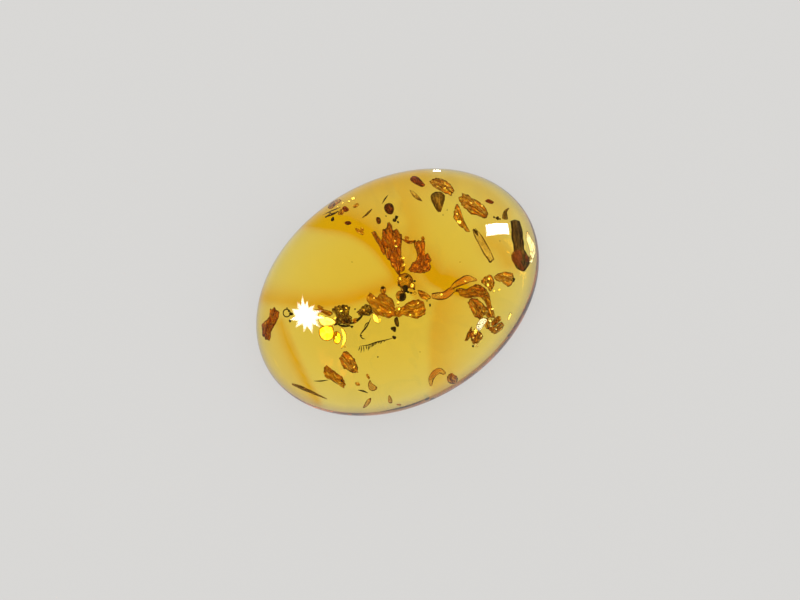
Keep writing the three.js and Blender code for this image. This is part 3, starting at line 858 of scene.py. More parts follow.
def add_piece(name, shape, finish, slot, nodes=(), values=None):
    """Puts a shape into the scene as a piece that rides on the stone and stands for solids."""
    old = bpy.data.objects.get(name)
    if old:
        bpy.data.objects.remove(old)
    mesh = bpy.data.meshes.new(name)
    mesh.from_pydata(shape.points.tolist(), [], shape.quads.tolist() + shape.triangles.tolist())
    mesh.shade_smooth()
    mesh.materials.append(finish)
    for label, value in {"rim": shape.rim, **(values or {})}.items():
        value = np.broadcast_to(value, len(shape.points)).astype(np.float32)
        mesh.attributes.new(label, "FLOAT", "POINT").data.foreach_set("value", value)
    lie = shape.lie.astype(np.float32).ravel()
    mesh.attributes.new("lie", "FLOAT_VECTOR", "POINT").data.foreach_set("vector", lie)
    piece = bpy.data.objects.new(name, mesh)
    bpy.context.scene.collection.objects.link(piece)
    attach(piece, BODY)
    if nodes:
        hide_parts(*nodes)
    return piece


def sealed(name, shape, stone):
    """A shape that lies in the stone: one that reaches out of it is an error."""
    if stone.outside(shape.points).max() > -CLEARANCE:
        raise RuntimeError(f"{name} reaches out of the amber")
    return shape


def add_scraps(stone, scraps, finish):
    """Adds sealed scraps, given as solid, shape and shade; the material slot of each solid is looked up
    and handed on, but nothing reads it.
    """
    slots = {part["node"]: part["material_slot"] for part in frame["record"]["subparts"]}
    for node, shape, shade in scraps:
        add_piece(f"sealed_{node}", sealed(node, shape, stone), finish, slots[node], [node], {"shade": shade})


def traced(sight, table, ragged):
    """The traced scraps of a table, each in the plane of its solid."""
    for node, (outline, thick, roundness, folds, shade) in table.items():
        middle, normal = node_plane(node)
        shapes = []
        for lobe in [outline, *LOBES.get(node, [])]:
            edge = torn(node, smooth(sight.on_plane(lobe, middle, normal), SCRAP_SIDES, True), ragged)
            relief = waves(node, 7, folds, 0.8, 3.5) if folds else None
            shapes.append(pillow(edge, normal, thick * MM, roundness, relief))
        yield node, joined(shapes), shade


def carried(sight, table, ridge):
    """The sticks of a table, each along a path in the plane of its solid."""
    for node, (path, widths, flatness, shade) in table.items():
        middle, normal = node_plane(node)
        spine = sight.on_plane(path, middle, normal)
        ridges = ribs(node, ridge)
        yield node, stick(spine, np.array(widths) * MM, normal, flatness, ridges), shade


class Value:
    """A socket that gives a number, so that shader maths is written as a Python expression."""

    def __init__(self, nodes, socket):
        self.nodes = nodes
        self.socket = socket

    def math(self, operation, *terms):
        return self.nodes.add("ShaderNodeMath", {"operation": operation}, dict(enumerate(terms)))

    def __add__(self, other):
        return self.math("ADD", self, other)

    __radd__ = __add__

    def __sub__(self, other):
        return self.math("SUBTRACT", self, other)

    def __rsub__(self, other):
        return self.math("SUBTRACT", other, self)

    def __mul__(self, other):
        return self.math("MULTIPLY", self, other)

    __rmul__ = __mul__

    def apart(self, other):
        """How far the number is from another, either way."""
        return self.math("ABSOLUTE", self - other)

    def __pow__(self, other):
        return self.math("POWER", self, other)

    def ramp(self, low, high):
        """0 below low, 1 above high and a smooth climb between."""
        settings = {"interpolation_type": "SMOOTHSTEP"}
        return self.nodes.add("ShaderNodeMapRange", settings, {0: self, 1: low, 2: high, 3: 0.0, 4: 1.0})


class Nodes:
    """A node tree in the making."""

    def __init__(self, tree):
        self.tree = tree
        tree.nodes.clear()

    def add(self, kind, settings, inputs, output=0):
        """Adds a node with its settings, then the values or links of its sockets, and gives one output."""
        node = self.tree.nodes.new(kind)
        for name, setting in settings.items():
            setattr(node, name, setting)
        for name, value in inputs.items():
            if isinstance(value, Value):
                self.tree.links.new(value.socket, node.inputs[name])
            else:
                node.inputs[name].default_value = value
        return Value(self, node.outputs[output]) if node.outputs else None

    def number(self, label):
        """A number that the surface carries."""
        return self.add("ShaderNodeAttribute", {"attribute_name": label}, {}, "Fac")

    def place(self):
        """The place along, across and through a scrap, which its surface carries."""
        return self.add("ShaderNodeAttribute", {"attribute_name": "lie"}, {}, "Vector")

    def stretched(self, place, stretch):
        """A place with its three parts multiplied, for a texture with that many cells for each unit."""
        return self.add("ShaderNodeVectorMath", {"operation": "MULTIPLY"}, {0: place, 1: stretch})

    def noise(self, place, stretch, detail=3.0, roughness=0.55):
        """Noise with stretch cells for each unit along the three axes."""
        inputs = {"Vector": self.stretched(place, stretch), "Scale": 1.0}
        return self.add("ShaderNodeTexNoise", {}, {**inputs, "Detail": detail, "Roughness": roughness})

    def cells(self, place, stretch):
        """Distance to the borders of random cells, with stretch cells for each unit along the three axes."""
        inputs = {"Vector": self.stretched(place, stretch), "Scale": 1.0}
        return self.add("ShaderNodeTexVoronoi", {"feature": "DISTANCE_TO_EDGE"}, inputs)

    def mix(self, factor, a, b):
        """A colour from a at factor 0 to b at factor 1."""
        return self.add("ShaderNodeMix", {"data_type": "RGBA"}, {0: factor, 6: a, 7: b}, 2)

    def bump(self, height, strength, distance):
        """A normal that follows a height."""
        return self.add("ShaderNodeBump", {}, {"Height": height, "Strength": strength, "Distance": distance})

    def surface(self, inputs, volume=None):
        """Ends the tree in a Principled shader, and in a volume if one is given."""
        shader = self.add("ShaderNodeBsdfPrincipled", {}, inputs)
        ends = {"Surface": shader, **({"Volume": volume} if volume else {})}
        self.add("ShaderNodeOutputMaterial", {}, ends)


def new_finish(name):
    """A material and its empty node tree."""
    material = bpy.data.materials.get(name) or bpy.data.materials.new(name)
    material.use_nodes = True
    return material, Nodes(material.node_tree)


def opaque(colour):
    """A colour with full alpha, as a colour socket takes it."""
    return (*colour, 1.0)


def amber_finish(colours, stone):
    """Clear amber: polished, with absorption through its depth, flow bands and a band of painted shade
    that tint what passes the back, and painted shade as a grey tint at its edge."""
    material, nodes = new_finish("clear_amber")
    flow = nodes.number("flow")
    place = nodes.add("ShaderNodeTexCoord", {}, {}, "Object")
    cloud = nodes.noise(place, (420.0, 420.0, 420.0), 2.0)
    band = flow * (0.95 + 0.6 * cloud)
    tint = nodes.mix(band, (1.0, 1.0, 1.0, 1.0), opaque(colours.flow_band_and_painted_shade))
    # painted shade: a grey tint at the stone's edge for the darker surroundings that the edge mirrors
    tint = nodes.mix(nodes.number("rim").ramp(0.93, 0.995), tint, opaque(colours.amber_edge_painted_shade))
    ripple = nodes.noise(place, (900.0, 900.0, 900.0), 1.0)
    absorption = nodes.add(
        "ShaderNodeVolumeAbsorption", {},
        {"Color": opaque(colours.amber_clear), "Density": colours.amber_density},
    )
    nodes.surface({
        "Base Color": tint, "Roughness": 0.0, "IOR": stone.index, "Transmission Weight": 1.0,
        "Normal": nodes.bump(ripple, 0.04, 0.00002),
    }, absorption)
    return material


def film_finish(colours):
    """A sun spangle: a crack whose walls mirror light as a metal does, white to gold."""
    material, nodes = new_finish("spangle_film")
    rim, shade = nodes.number("rim"), nodes.number("shade")
    crackle = nodes.noise(nodes.place(), (3.0, 3.0, 3.0), 3.0)
    film = nodes.mix(shade + crackle - 0.5, opaque(colours.spangle_white), opaque(colours.spangle_gold))
    edge = (rim + 0.6 * crackle - 0.3).ramp(0.7, 1.05)
    nodes.surface({
        "Base Color": nodes.mix(edge * (0.2 + 0.8 * shade), film, opaque(colours.spangle_edge)),
        "Metallic": 1.0,
        "Roughness": 0.1 + 0.2 * crackle,
        "Normal": nodes.bump(crackle, 0.5, 0.00006),
    })
    return material


def scrap_finish(name, tones, clear, fibres, cells=None):
    """A scrap: patches from pale to deep, dark seams between its fibres or cells, painted glints, a dark
    edge of painted shade for the dark rim that refraction gives it, and places that are clear."""
    material, nodes = new_finish(name)
    pale, deep, edge, painted_glint_colour = (opaque(tone) for tone in tones)
    lie, rim, shade = nodes.place(), nodes.number("rim"), nodes.number("shade")
    fibre = nodes.noise(lie, fibres, 4.0, 0.62)
    seam = nodes.cells(lie, cells).ramp(0.0, 0.12) if cells else fibre.apart(0.5).ramp(0.0, 0.045)
    seam = seam * nodes.noise(lie, (1.0, 2.4, 1.6), 2.0).apart(0.5).ramp(0.0, 0.035)
    dark = fibre.ramp(0.42, 0.62)
    patch = nodes.noise(lie, (1.7, 2.3, 1.7), 3.0).ramp(0.4, 0.6)
    # painted shade: a dark rim at the scrap's edge for the dark outline that refraction gives it
    outline = (rim + 0.3 * fibre - 0.15).ramp(0.84, 0.98)
    # painted glints: bright flecks painted into the colour where light would glint
    glint = nodes.noise(lie, (5.0, 8.0, 5.0), 2.0).ramp(0.55, 0.64) * (1 - outline)
    body = nodes.mix(0.5 * patch + 0.5 * dark + 0.7 * shade - 0.3, pale, deep)
    body = nodes.mix(glint - 0.6 * shade, body, painted_glint_colour)
    body = nodes.mix(0.75 - 0.75 * seam, body, edge)
    nodes.surface({
        "Base Color": nodes.mix(0.8 * outline, body, edge),
        "Roughness": 0.12 + 0.2 * patch,
        "Alpha": 1 - clear * (1 - outline) * seam * (1 - dark * patch) * (1 - 0.5 * shade),
        "Normal": nodes.bump(seam + fibre, 0.9, 0.0001),
    })
    return material


def tube_finish(name, tones, clear):
    """A hollow straw or stem: dark walls at its edges, a clear middle, and fibres along it."""
    material, nodes = new_finish(name)
    pale, deep, edge = (opaque(tone) for tone in tones)
    lie, rim, shade = nodes.place(), nodes.number("rim"), nodes.number("shade")
    fibre = nodes.noise(lie, (0.9, 8.0, 8.0), 4.0, 0.6)
    wall = (rim + 0.4 * fibre - 0.2).ramp(0.7, 0.88)
    stain = nodes.noise(lie, (1.6, 2.0, 2.0), 3.0).ramp(0.45, 0.62)
    body = nodes.mix(stain * (0.4 + 0.6 * shade), pale, deep)
    nodes.surface({
        "Base Color": nodes.mix(wall, body, edge),
        "Roughness": 0.2 + 0.2 * fibre,
        "Alpha": 1 - clear * (1 - wall) * (1 - stain * (0.1 + 0.8 * shade)),
        "Normal": nodes.bump(fibre, 0.7, 0.00006),
    })
    return material


def bark_finish(name, tones, fibres, gloss):
    """Bark, a knot, a hair or a seed coat: fibres along it between two colours, dark in its furrows and
    darker with the shade, deeper at its edges as painted shade, and so paler in its middle as a painted
    highlight."""
    material, nodes = new_finish(name)
    pale, deep, furrow = (opaque(tone) for tone in tones)
    lie, rim, shade = nodes.place(), nodes.number("rim"), nodes.number("shade")
    fibre = nodes.noise(lie, fibres, 5.0, 0.65)
    grain = nodes.noise(lie, (7.0, 9.0, 9.0), 3.0)
    # painted shade: deeper towards the edges, which leaves a painted highlight in the middle
    body = nodes.mix(0.8 * fibre.ramp(0.35, 0.65) + 0.8 * shade - 0.4 + 0.3 * rim**4, pale, deep)
    cleft = 1 - fibre.apart(0.47).ramp(0.0, 0.05)
    nodes.surface({
        "Base Color": nodes.mix(0.8 * cleft * grain.ramp(0.3, 0.6), body, furrow),
        "Roughness": gloss + 0.3 * grain,
        "Normal": nodes.bump(fibre + 0.5 * grain - 0.4 * cleft, 0.9, 0.0001),
    })
    return material


def drop_finish(colours):
    """A resin drop: painted shade where it curves away to its edge, for the dark rim that refraction gives
    it, and clear in its middle.
    """
    material, nodes = new_finish("resin_drop")
    rim, shade = nodes.number("rim"), nodes.number("shade")
    cloud = nodes.noise(nodes.place(), (5.0, 5.0, 5.0))
    # painted shade: dark at the rim of each drop and bead
    edge = (rim + 0.2 * cloud - 0.1).ramp(0.68, 0.95)
    nodes.surface({
        "Base Color": nodes.mix(edge, opaque(colours.drop), opaque(colours.husk_seam_and_painted_rim_shade)),
        "Roughness": 0.12 + 0.1 * cloud,
        "Alpha": 0.42 + 0.6 * edge + 0.3 * cloud.ramp(0.5, 0.6) * shade,
    })
    return material


def colour_property(name, description, default):
    """A colour that a user may change, in linear light."""
    return bpy.props.FloatVectorProperty(
        name=name, description=description, default=default, subtype="COLOR", size=3, min=0.0, max=1.0,
    )


class StoneSizes(bpy.types.PropertyGroup):
    """Form of the stone, how it bends light, and the width of its cracks."""

    girdle_height: bpy.props.FloatProperty(
        name="Girdle height", description="Height of the widest place above the flat back", default=1.1 * MM,
        unit="LENGTH", precision=5,
    )
    back_share: bpy.props.FloatProperty(
        name="Back share", description="Width of the flat back as a part of the outline", default=0.93,
        subtype="FACTOR", min=0.5, max=0.99,
    )
    dome_fullness: bpy.props.FloatProperty(
        name="Dome fullness", description="2 is a half ellipsoid, and more fills out the shoulder",
        default=2.3,
        min=1.5, max=4.0,
    )
    refraction: bpy.props.FloatProperty(
        name="Index of refraction", description="How strongly the amber bends light",
        default=1.54, min=1.0, max=2.0,
    )
    spangle_gap: bpy.props.FloatProperty(
        name="Spangle gap", description="Width of the thin cracks that mirror light", default=0.03 * MM,
        unit="LENGTH", precision=6,
    )


class StoneColours(bpy.types.PropertyGroup):
    """Colours of the amber and of the scraps, in linear light."""

    amber_clear: colour_property(
        "Clear amber", "Light that a depth of amber lets through", (0.997, 0.879, 0.048),
    )
    amber_density: bpy.props.FloatProperty(
        name="Amber density", description="Absorption of the amber for each metre",
        default=420.0, min=0.0, max=5000.0,
    )
    # This tint colours the flow bands, and also the band of painted shade beside the twig
    flow_band_and_painted_shade: colour_property("Flow band", "Deeper tint where two flows of resin met", (0.93, 0.5, 0.0))
    # This grey tint is painted shade at the stone's edge, for the darker surroundings that the edge mirrors
    amber_edge_painted_shade: colour_property(
        "Amber edge", "Light that the turned edge of the stone lets through", (0.58, 0.54, 0.48),
    )
    spangle_white: colour_property("Spangle, white", "Sun spangles near the dome", (1.0, 0.97, 0.9))
    spangle_gold: colour_property("Spangle, gold", "Sun spangles in deep amber", (1.0, 0.72, 0.06))
    spangle_edge: colour_property("Spangle, edge", "Edges of the sun spangles", (0.75, 0.34, 0.01))
    # Painted glints: a bright colour painted into the scraps where light glints
    painted_glint_colour: colour_property("Fleck", "Flecks that glint in the scraps", (1.0, 0.75, 0.16))
    husk_pale: colour_property("Husk, pale", "Pale patches of the husks", (0.95, 0.4, 0.03))
    husk_deep: colour_property("Husk, deep", "Deep patches of the husks", (0.55, 0.15, 0.015))
    # Dark seams of the scraps, and the painted shade of their dark rims
    husk_seam_and_painted_rim_shade: colour_property("Husk, edge", "Dark edges and creases of the scraps", (0.1, 0.025, 0.008))
    leaf_pale: colour_property("Leaf, pale", "Pale patches of the leaf scraps", (0.75, 0.36, 0.015))
    leaf_deep: colour_property("Leaf, deep", "Deep patches of the leaf scraps", (0.55, 0.19, 0.006))
    bark_red: colour_property("Bark, red", "Red patches of the bark scraps", (0.88, 0.25, 0.012))
    bark_brown: colour_property("Bark, brown", "Brown patches of the bark scraps", (0.4, 0.08, 0.006))
    # Painted glints: a bright colour painted into the bark scraps where light glints
    bark_painted_glint_colour: colour_property("Bark, fleck", "Flecks that glint in the bark scraps", (1.0, 0.6, 0.08))
    knot_pale: colour_property("Knot, pale", "Pale parts of the knots", (0.42, 0.2, 0.02))
    bud: colour_property("Bud", "Red scales of the bud", (0.36, 0.085, 0.035))
    furrow: colour_property("Furrow", "Clefts of bark and seed coats", (0.02, 0.007, 0.003))
    # Veins of the leaf scraps, and the painted shade of their dark rims
    leaf_vein_and_painted_rim_shade: colour_property("Leaf, edge", "Edges and veins of the leaf scraps", (0.32, 0.09, 0.004))
    straw_edge: colour_property("Straw, edge", "Walls of the straws", (0.05, 0.015, 0.003))
    bark_pale: colour_property("Bark, pale", "Pale fibres of the twig", (0.34, 0.19, 0.06))
    bark_deep: colour_property("Bark, deep", "Dark fibres of the twig", (0.025, 0.008, 0.003))
    seed_pale: colour_property("Seed, pale", "Seed coats where they are pale", (0.34, 0.06, 0.015))
    seed_deep: colour_property("Seed, deep", "Seed coats where they are dark", (0.05, 0.005, 0.002))
    link_pale: colour_property("Link, pale", "Pale parts of the links of the chain", (0.7, 0.3, 0.03))
    straw_pale: colour_property("Straw, pale", "Clear parts of the straws", (0.75, 0.4, 0.05))
    straw_deep: colour_property("Straw, deep", "Dark parts of the straws", (0.16, 0.055, 0.01))
    drop: colour_property("Resin drop", "Middle of the resin drops", (0.62, 0.25, 0.035))


class StudioSettings(bpy.types.PropertyGroup):
    """Floor, light and camera."""

    floor_colour: colour_property("Floor", "Colour of the lit floor round the stone", (0.71, 0.702, 0.687))
    floor_glow: bpy.props.FloatProperty(
        name="Floor glow", description="Part of the floor's brightness that is its own light", default=0.76,
        subtype="FACTOR", min=0.0, max=1.0,
    )
    floor_white: bpy.props.FloatProperty(
        name="Floor white", description="Part of the soft light that the floor sends back", default=0.12,
        subtype="FACTOR", min=0.0, max=1.0,
    )
    far_tone: bpy.props.FloatProperty(
        name="Far tone", description="Brightness of the far floor as a part of that round the stone",
        default=0.08,
        subtype="FACTOR", min=0.0, max=1.0,
    )
    core_tone: bpy.props.FloatProperty(
        name="Core tone", description="Light that the dome gathers on the floor under the stone",
        default=1.2, min=0.5,
    )
    pool_radius: bpy.props.FloatProperty(
        name="Light pool", description="Radius of the lit floor round the stone", default=0.09, unit="LENGTH",
    )
    sky_tone: bpy.props.FloatProperty(
        name="Soft light", description="Light from all round that falls on the floor and the scraps",
        default=1.8, min=0.0,
    )
    below_tone: bpy.props.FloatProperty(
        name="Below", description="Brightness that the polished stone mirrors from below",
        default=0.5, min=0.0,
    )
    room_tone: bpy.props.FloatProperty(
        name="Room", description="Brightness of the room that the polished stone mirrors",
        default=0.05, min=0.0,
    )
    through_tone: bpy.props.FloatProperty(
        name="Through", description="Brightness of the room as it is seen through the stone",
        default=0.7, min=0.0,
    )
    card_light: bpy.props.FloatProperty(
        name="Card light", description="Brightness of the lit cards that the dome mirrors",
        default=30.0, min=0.0,
    )
    card_distance: bpy.props.FloatProperty(
        name="Card distance", description="Distance of the lit cards from the stone",
        default=0.3, unit="LENGTH",
    )


def sight_and_colours(context):
    """The lines of sight into the stone, and the colours, as the user's settings give them."""
    return Sight(Stone(context.scene.stone_sizes)), context.scene.stone_colours


class STONE_OT_stage(bpy.types.Operator):
    """Make the floor, the light and the camera"""

    bl_idname = "stone.stage"
    bl_label = "Studio"

    def execute(self, context):
        scene, studio = context.scene, context.scene.stone_studio
        sight = Sight(Stone(scene.stone_sizes))
        self.make_camera(scene, sight)
        self.make_sky(scene, studio)
        self.make_floor(scene, studio)
        for name, (outline, fade) in HIGHLIGHTS.items():
            self.make_card(scene, studio, name, sight.card(outline, studio.card_distance), fade)
        scene.view_settings.view_transform = "Standard"
        scene.cycles.use_denoising = True
        scene.cycles.max_bounces = 16
        scene.cycles.transmission_bounces = 16
        scene.cycles.transparent_max_bounces = 24
        scene.cycles.sample_clamp_indirect = 3.0
        return {"FINISHED"}

    def make_camera(self, scene, sight):
        """A camera that sees the stone as the photograph does."""
        camera = bpy.data.cameras.new("camera")
        camera.lens = camera.sensor_width * VIEW_DISTANCE * PIXELS_PER_METRE / PHOTO_SIZE[0]
        camera.clip_start, camera.clip_end = 0.01, 20.0
        holder = bpy.data.objects.new("camera", camera)
        turn = np.eye(4)
        turn[:3] = np.stack([sight.right, sight.up, sight.back, sight.eye], axis=-1)
        holder.matrix_world = Matrix(turn)
        scene.collection.objects.link(holder)
        scene.camera = holder

    def make_sky(self, scene, studio):
        """A dark room for mirror images, brighter seen through the stone, and bright for soft light."""
        world = bpy.data.worlds.new("studio_sky")
        world.use_nodes = True
        scene.world = world
        nodes = Nodes(world.node_tree)
        way = nodes.add("ShaderNodeTexCoord", {}, {}, "Generated")
        height = nodes.add("ShaderNodeSeparateXYZ", {}, {0: way}, "Z")
        depth = nodes.add("ShaderNodeLightPath", {}, {}, "Diffuse Depth")
        tones = (studio.below_tone, studio.room_tone, studio.through_tone, studio.sky_tone)
        below, room, through, bright = ((tone, tone, tone, 1.0) for tone in tones)
        sky = nodes.mix(height.ramp(-0.95, -0.3), below, room)
        crossing = nodes.add("ShaderNodeLightPath", {}, {}, "Is Transmission Ray")
        sky = nodes.mix(crossing * height.ramp(-0.2, 0.5), sky, through)
        sky = nodes.mix(depth.ramp(0.0, 0.5), sky, bright)
        light = nodes.add("ShaderNodeBackground", {}, {"Color": sky})
        nodes.add("ShaderNodeOutputWorld", {}, {"Surface": light})

    def make_floor(self, scene, studio):
        """A square floor just under the stone, with a pool of light round it."""
        reach = 3.0
        gap = 0.02 * MM
        mesh = bpy.data.meshes.new("floor")
        corners = [(-reach, -reach, -gap), (reach, -reach, -gap), (reach, reach, -gap), (-reach, reach, -gap)]
        mesh.from_pydata(corners, [], [(0, 1, 2, 3)])
        floor = bpy.data.objects.new("floor", mesh)
        material, nodes = new_finish("pale_floor")
        place = nodes.add("ShaderNodeTexCoord", {}, {}, "Object")
        radius = nodes.add("ShaderNodeVectorMath", {"operation": "LENGTH"}, {0: place}, "Value")
        pool = radius.ramp(0.4 * studio.pool_radius, studio.pool_radius)
        near = np.array(studio.floor_colour) * studio.floor_glow
        glow = nodes.mix(pool, opaque(near), opaque(near * studio.far_tone))
        outline = (HIGH[0], HIGH[1], 1.0)
        share = nodes.add("ShaderNodeVectorMath", {"operation": "DIVIDE"}, {0: place, 1: outline})
        share = nodes.add("ShaderNodeVectorMath", {"operation": "LENGTH"}, {0: share}, "Value")
        core = share.ramp(0.75, 1.0)
        glow = nodes.mix(core, opaque(near * studio.core_tone), glow)
        base = np.array(studio.floor_colour) * studio.floor_white
        nodes.surface({
            "Base Color": opaque(base), "Roughness": 0.9, "Specular IOR Level": 0.0,
            "Emission Color": glow, "Emission Strength": 1.0,
        })
        mesh.materials.append(material)
        scene.collection.objects.link(floor)
        floor.visible_glossy = False

    def make_card(self, scene, studio, name, outline, fade):
        """A lit card: a band from its dark outline to a bright core, and a fan from there to its middle."""
        mesh = bpy.data.meshes.new(f"card_{name}")
        middle = outline.mean(0)
        core = middle + (1 - fade) * (outline - middle)
        count = len(outline)
        index = np.arange(count)
        after = np.roll(index, -1)
        rim = np.stack([index, after, after + count, index + count], axis=-1)
        fan = np.stack([index + count, after + count, np.full(count, 2 * count)], axis=-1)
        mesh.from_pydata(np.concatenate([outline, core, [middle]]).tolist(), [], rim.tolist() + fan.tolist())
        glow = np.repeat([0.0, 1.0], [count, count + 1]).astype(np.float32)
        mesh.attributes.new("glow", "FLOAT", "POINT").data.foreach_set("value", glow)
        card = bpy.data.objects.new(f"card_{name}", mesh)
        material, nodes = new_finish(f"card_{name}")
        tone = nodes.mix(nodes.number("glow"), (0.0, 0.0, 0.0, 1.0), (1.0, 0.985, 0.97, 1.0))
        light = nodes.add("ShaderNodeEmission", {}, {"Color": tone, "Strength": studio.card_light})
        nodes.add("ShaderNodeOutputMaterial", {}, {"Surface": light})
        mesh.materials.append(material)
        scene.collection.objects.link(card)
        card.visible_camera = card.visible_diffuse = card.visible_shadow = False


class STONE_OT_amber(bpy.types.Operator):
    """Build the clear amber body with its gas bubbles as hollows, and its sun spangles"""

    bl_idname = "stone.amber"
    bl_label = "Amber body"

    def execute(self, context):
        sight, colours = sight_and_colours(context)
        stone = sight.stone
        hollows = [self.bubble(sight, *row) for row in BUBBLES]
        body = self.body(stone)
        whole = joined([body, *hollows])
        flow = np.zeros(len(whole.points))
        flow[: len(body.points)] = self.flow(sight, body.points)
        finish = amber_finish(colours, stone)
        add_piece("amber_body", whole, finish, "amber", HALVES, {"flow": flow})
        films = [(self.spangle(context, sight, *row[:3]), row[3]) for row in SPANGLES.values()]
        films += [(self.spark(context, sight, *row), SPARK_TONE) for row in SPARKS]
        shapes, tones = zip(*films)
        tone = np.repeat(tones, [len(shape.points) for shape in shapes])
        spangles = sealed("amber_spangles", joined(shapes), stone)
        add_piece("amber_spangles", spangles, film_finish(colours), "amber", values={"shade": tone})
        return {"FINISHED"}

    def body(self, stone):
        """The stone's profile carried round its oval outline."""
        shares, heights = stone.profile()
        angle = np.arange(BODY_SIDES) / BODY_SIDES * 2 * math.pi
        rings = np.empty((len(shares), BODY_SIDES, 3))
        rings[..., 0] = shares[:, None] * stone.half[0] * np.cos(angle)
        rings[..., 1] = shares[:, None] * stone.half[1] * np.sin(angle)
        rings[..., 2] = heights[:, None]
        rim = shares[:, None] * np.ones(BODY_SIDES)
        return closed(rings, np.zeros(3), np.array([0, 0, stone.height]), rim, rings / MM)

    def flow(self, sight, points):
        """Strength of the flow bands on the back: each fades with the square of the distance to its line,
        as a part of its reach on that side."""
        clear = np.ones(len(points))
        for path, left, right, strength in FLOW_BANDS:
            line = smooth(sight.at_height(path, 0.0), FLOW_STEPS, False)[:, :2]
            offset = points[:, None, :2] - line
            nearest = np.linalg.norm(offset, axis=-1).argmin(1)
            offset = offset[np.arange(len(points)), nearest]
            ahead = np.gradient(line, axis=0)[nearest]
            leftward = ahead[:, 0] * offset[:, 1] - ahead[:, 1] * offset[:, 0] > 0
            gap = np.linalg.norm(offset, axis=-1) / (np.where(leftward, left, right) * MM)
            clear *= 1 - strength * np.exp(-(gap**2))
        return np.where(points[:, 2] < 0.01 * MM, 1 - clear, 0.0)

    def spangle(self, context, sight, outline, height, card):
        """A flat thin film that mirrors a card towards the camera: its normal halves the two directions."""
        studio = context.scene.stone_studio
        goal = sight.card(HIGHLIGHTS[card][0], studio.card_distance).mean(0)
        centre = np.mean(outline, axis=0, keepdims=True)
        place = sight.at_height(centre, height * MM)[0]
        view = sight.inside(centre)[1][0]
        normal = unit(sight.towards(place, goal) - view)
        edge = smooth(sight.on_plane(outline, place, normal), SCRAP_SIDES, True)
        return pillow(edge, normal, context.scene.stone_sizes.spangle_gap, 8)

    def spark(self, context, sight, pixel, reach, height, card):
        """A spangle with an uneven outline round a place."""
        angle = np.arange(SPARK_SIDES) / SPARK_SIDES * 2 * math.pi
        uneven = 1 + 0.3 * np.sin(2.3 * angle + pixel[0])
        around = np.stack([np.cos(angle), np.sin(angle)], axis=-1) * uneven[:, None]
        return self.spangle(context, sight, np.array(pixel) + reach * around, height, card)

    def bubble(self, sight, pixel, diameter, height):
        """A round gas bubble."""
        return ball(sight.at_height([pixel], height * MM)[0], diameter * MM, hollow=True)


class STONE_OT_husks(bpy.types.Operator):
    """Build the husks, the brown seed and the small flakes"""

    bl_idname = "stone.husks"
    bl_label = "Husks"

    def execute(self, context):
        sight, colours = sight_and_colours(context)
        tones = (colours.husk_pale, colours.husk_deep, colours.husk_seam_and_painted_rim_shade, colours.painted_glint_colour)
        finish = scrap_finish("orange_husk", tones, 0.62, (1.2, 5.0, 3.0))
        add_scraps(sight.stone, traced(sight, HUSKS, 0.085), finish)
        bits = sealed("sealed_bits", joined([self.bit(sight, *row) for row in BITS]), sight.stone)
        add_piece("sealed_bits", bits, finish, "husk", values={"shade": 0.35})
        return {"FINISHED"}

    def bit(self, sight, outline, thick, node):
        """A small flake in a solid's plane."""
        middle, normal = node_plane(node)
        name = f"{outline}"
        edge = smooth(sight.on_plane(outline, middle, normal), SCRAP_SIDES // 2, True)
        return pillow(torn(name, edge, 0.08), normal, thick * MM, 3, waves(name, 4, 0.03, 1.0, 3.0))


class STONE_OT_leaves(bpy.types.Operator):
    """Build the leaf scraps"""

    bl_idname = "stone.leaves"
    bl_label = "Leaf scraps"

    def execute(self, context):
        sight, colours = sight_and_colours(context)
        tones = (colours.leaf_pale, colours.leaf_deep, colours.leaf_vein_and_painted_rim_shade, colours.painted_glint_colour)
        finish = scrap_finish("golden_leaf", tones, 0.5, (1.5, 4.0, 2.0))
        add_scraps(sight.stone, traced(sight, LEAVES, 0.075), finish)
        return {"FINISHED"}


class STONE_OT_bark(bpy.types.Operator):
    """Build the bark scraps, the knots, the bud, the wedge seeds and the dark twigs"""

    bl_idname = "stone.bark"
    bl_label = "Bark and twigs"

    def execute(self, context):
        sight, colours = sight_and_colours(context)
        tones = (colours.bark_red, colours.bark_brown, colours.husk_seam_and_painted_rim_shade, colours.bark_painted_glint_colour)
        scrap = scrap_finish("orange_bark", tones, 0.42, (2.0, 4.0, 3.0), (1.8, 3.4, 3.0))
        tones = (colours.bark_pale, colours.bark_deep, colours.furrow)
        dark = bark_finish("dark_bark", tones, (0.8, 6.0, 6.0), 0.4)
        add_scraps(sight.stone, traced(sight, BARK, 0.1), scrap)
        # the furrow colour here also paints the painted shade of the knots' dark rims
        tones = (colours.knot_pale, colours.bark_deep, colours.furrow, colours.painted_glint_colour)
        knot = scrap_finish("olive_knot", tones, 0.7, (2.2, 4.0, 3.0), (2.0, 3.4, 3.0))
        add_scraps(sight.stone, traced(sight, KNOTS, 0.12), knot)
        tones = (colours.bud, colours.bark_deep, colours.furrow)
        self.make_bud(sight, bark_finish("red_bud", tones, (1.2, 5.0, 4.0), 0.3))
        add_scraps(sight.stone, traced(sight, WEDGES, 0.03), dark)
        add_scraps(sight.stone, carried(sight, TWIGS, 0.14), dark)
        return {"FINISHED"}

    def make_bud(self, sight, finish):
        """The bud at the twig's end, in the twig's plane."""
        middle, normal = node_plane("bark_twig")
        edge = torn("bud", smooth(sight.on_plane(BUD, middle, normal), SCRAP_SIDES, True), 0.05)
        bud = pillow(edge, normal, BUD_THICKNESS * MM, 2.2, waves("bud", 5, 0.06, 0.8, 1.6))
        add_piece("sealed_bud", sealed("bud", bud, sight.stone), finish, "dark_bark", values={"shade": 0.1})


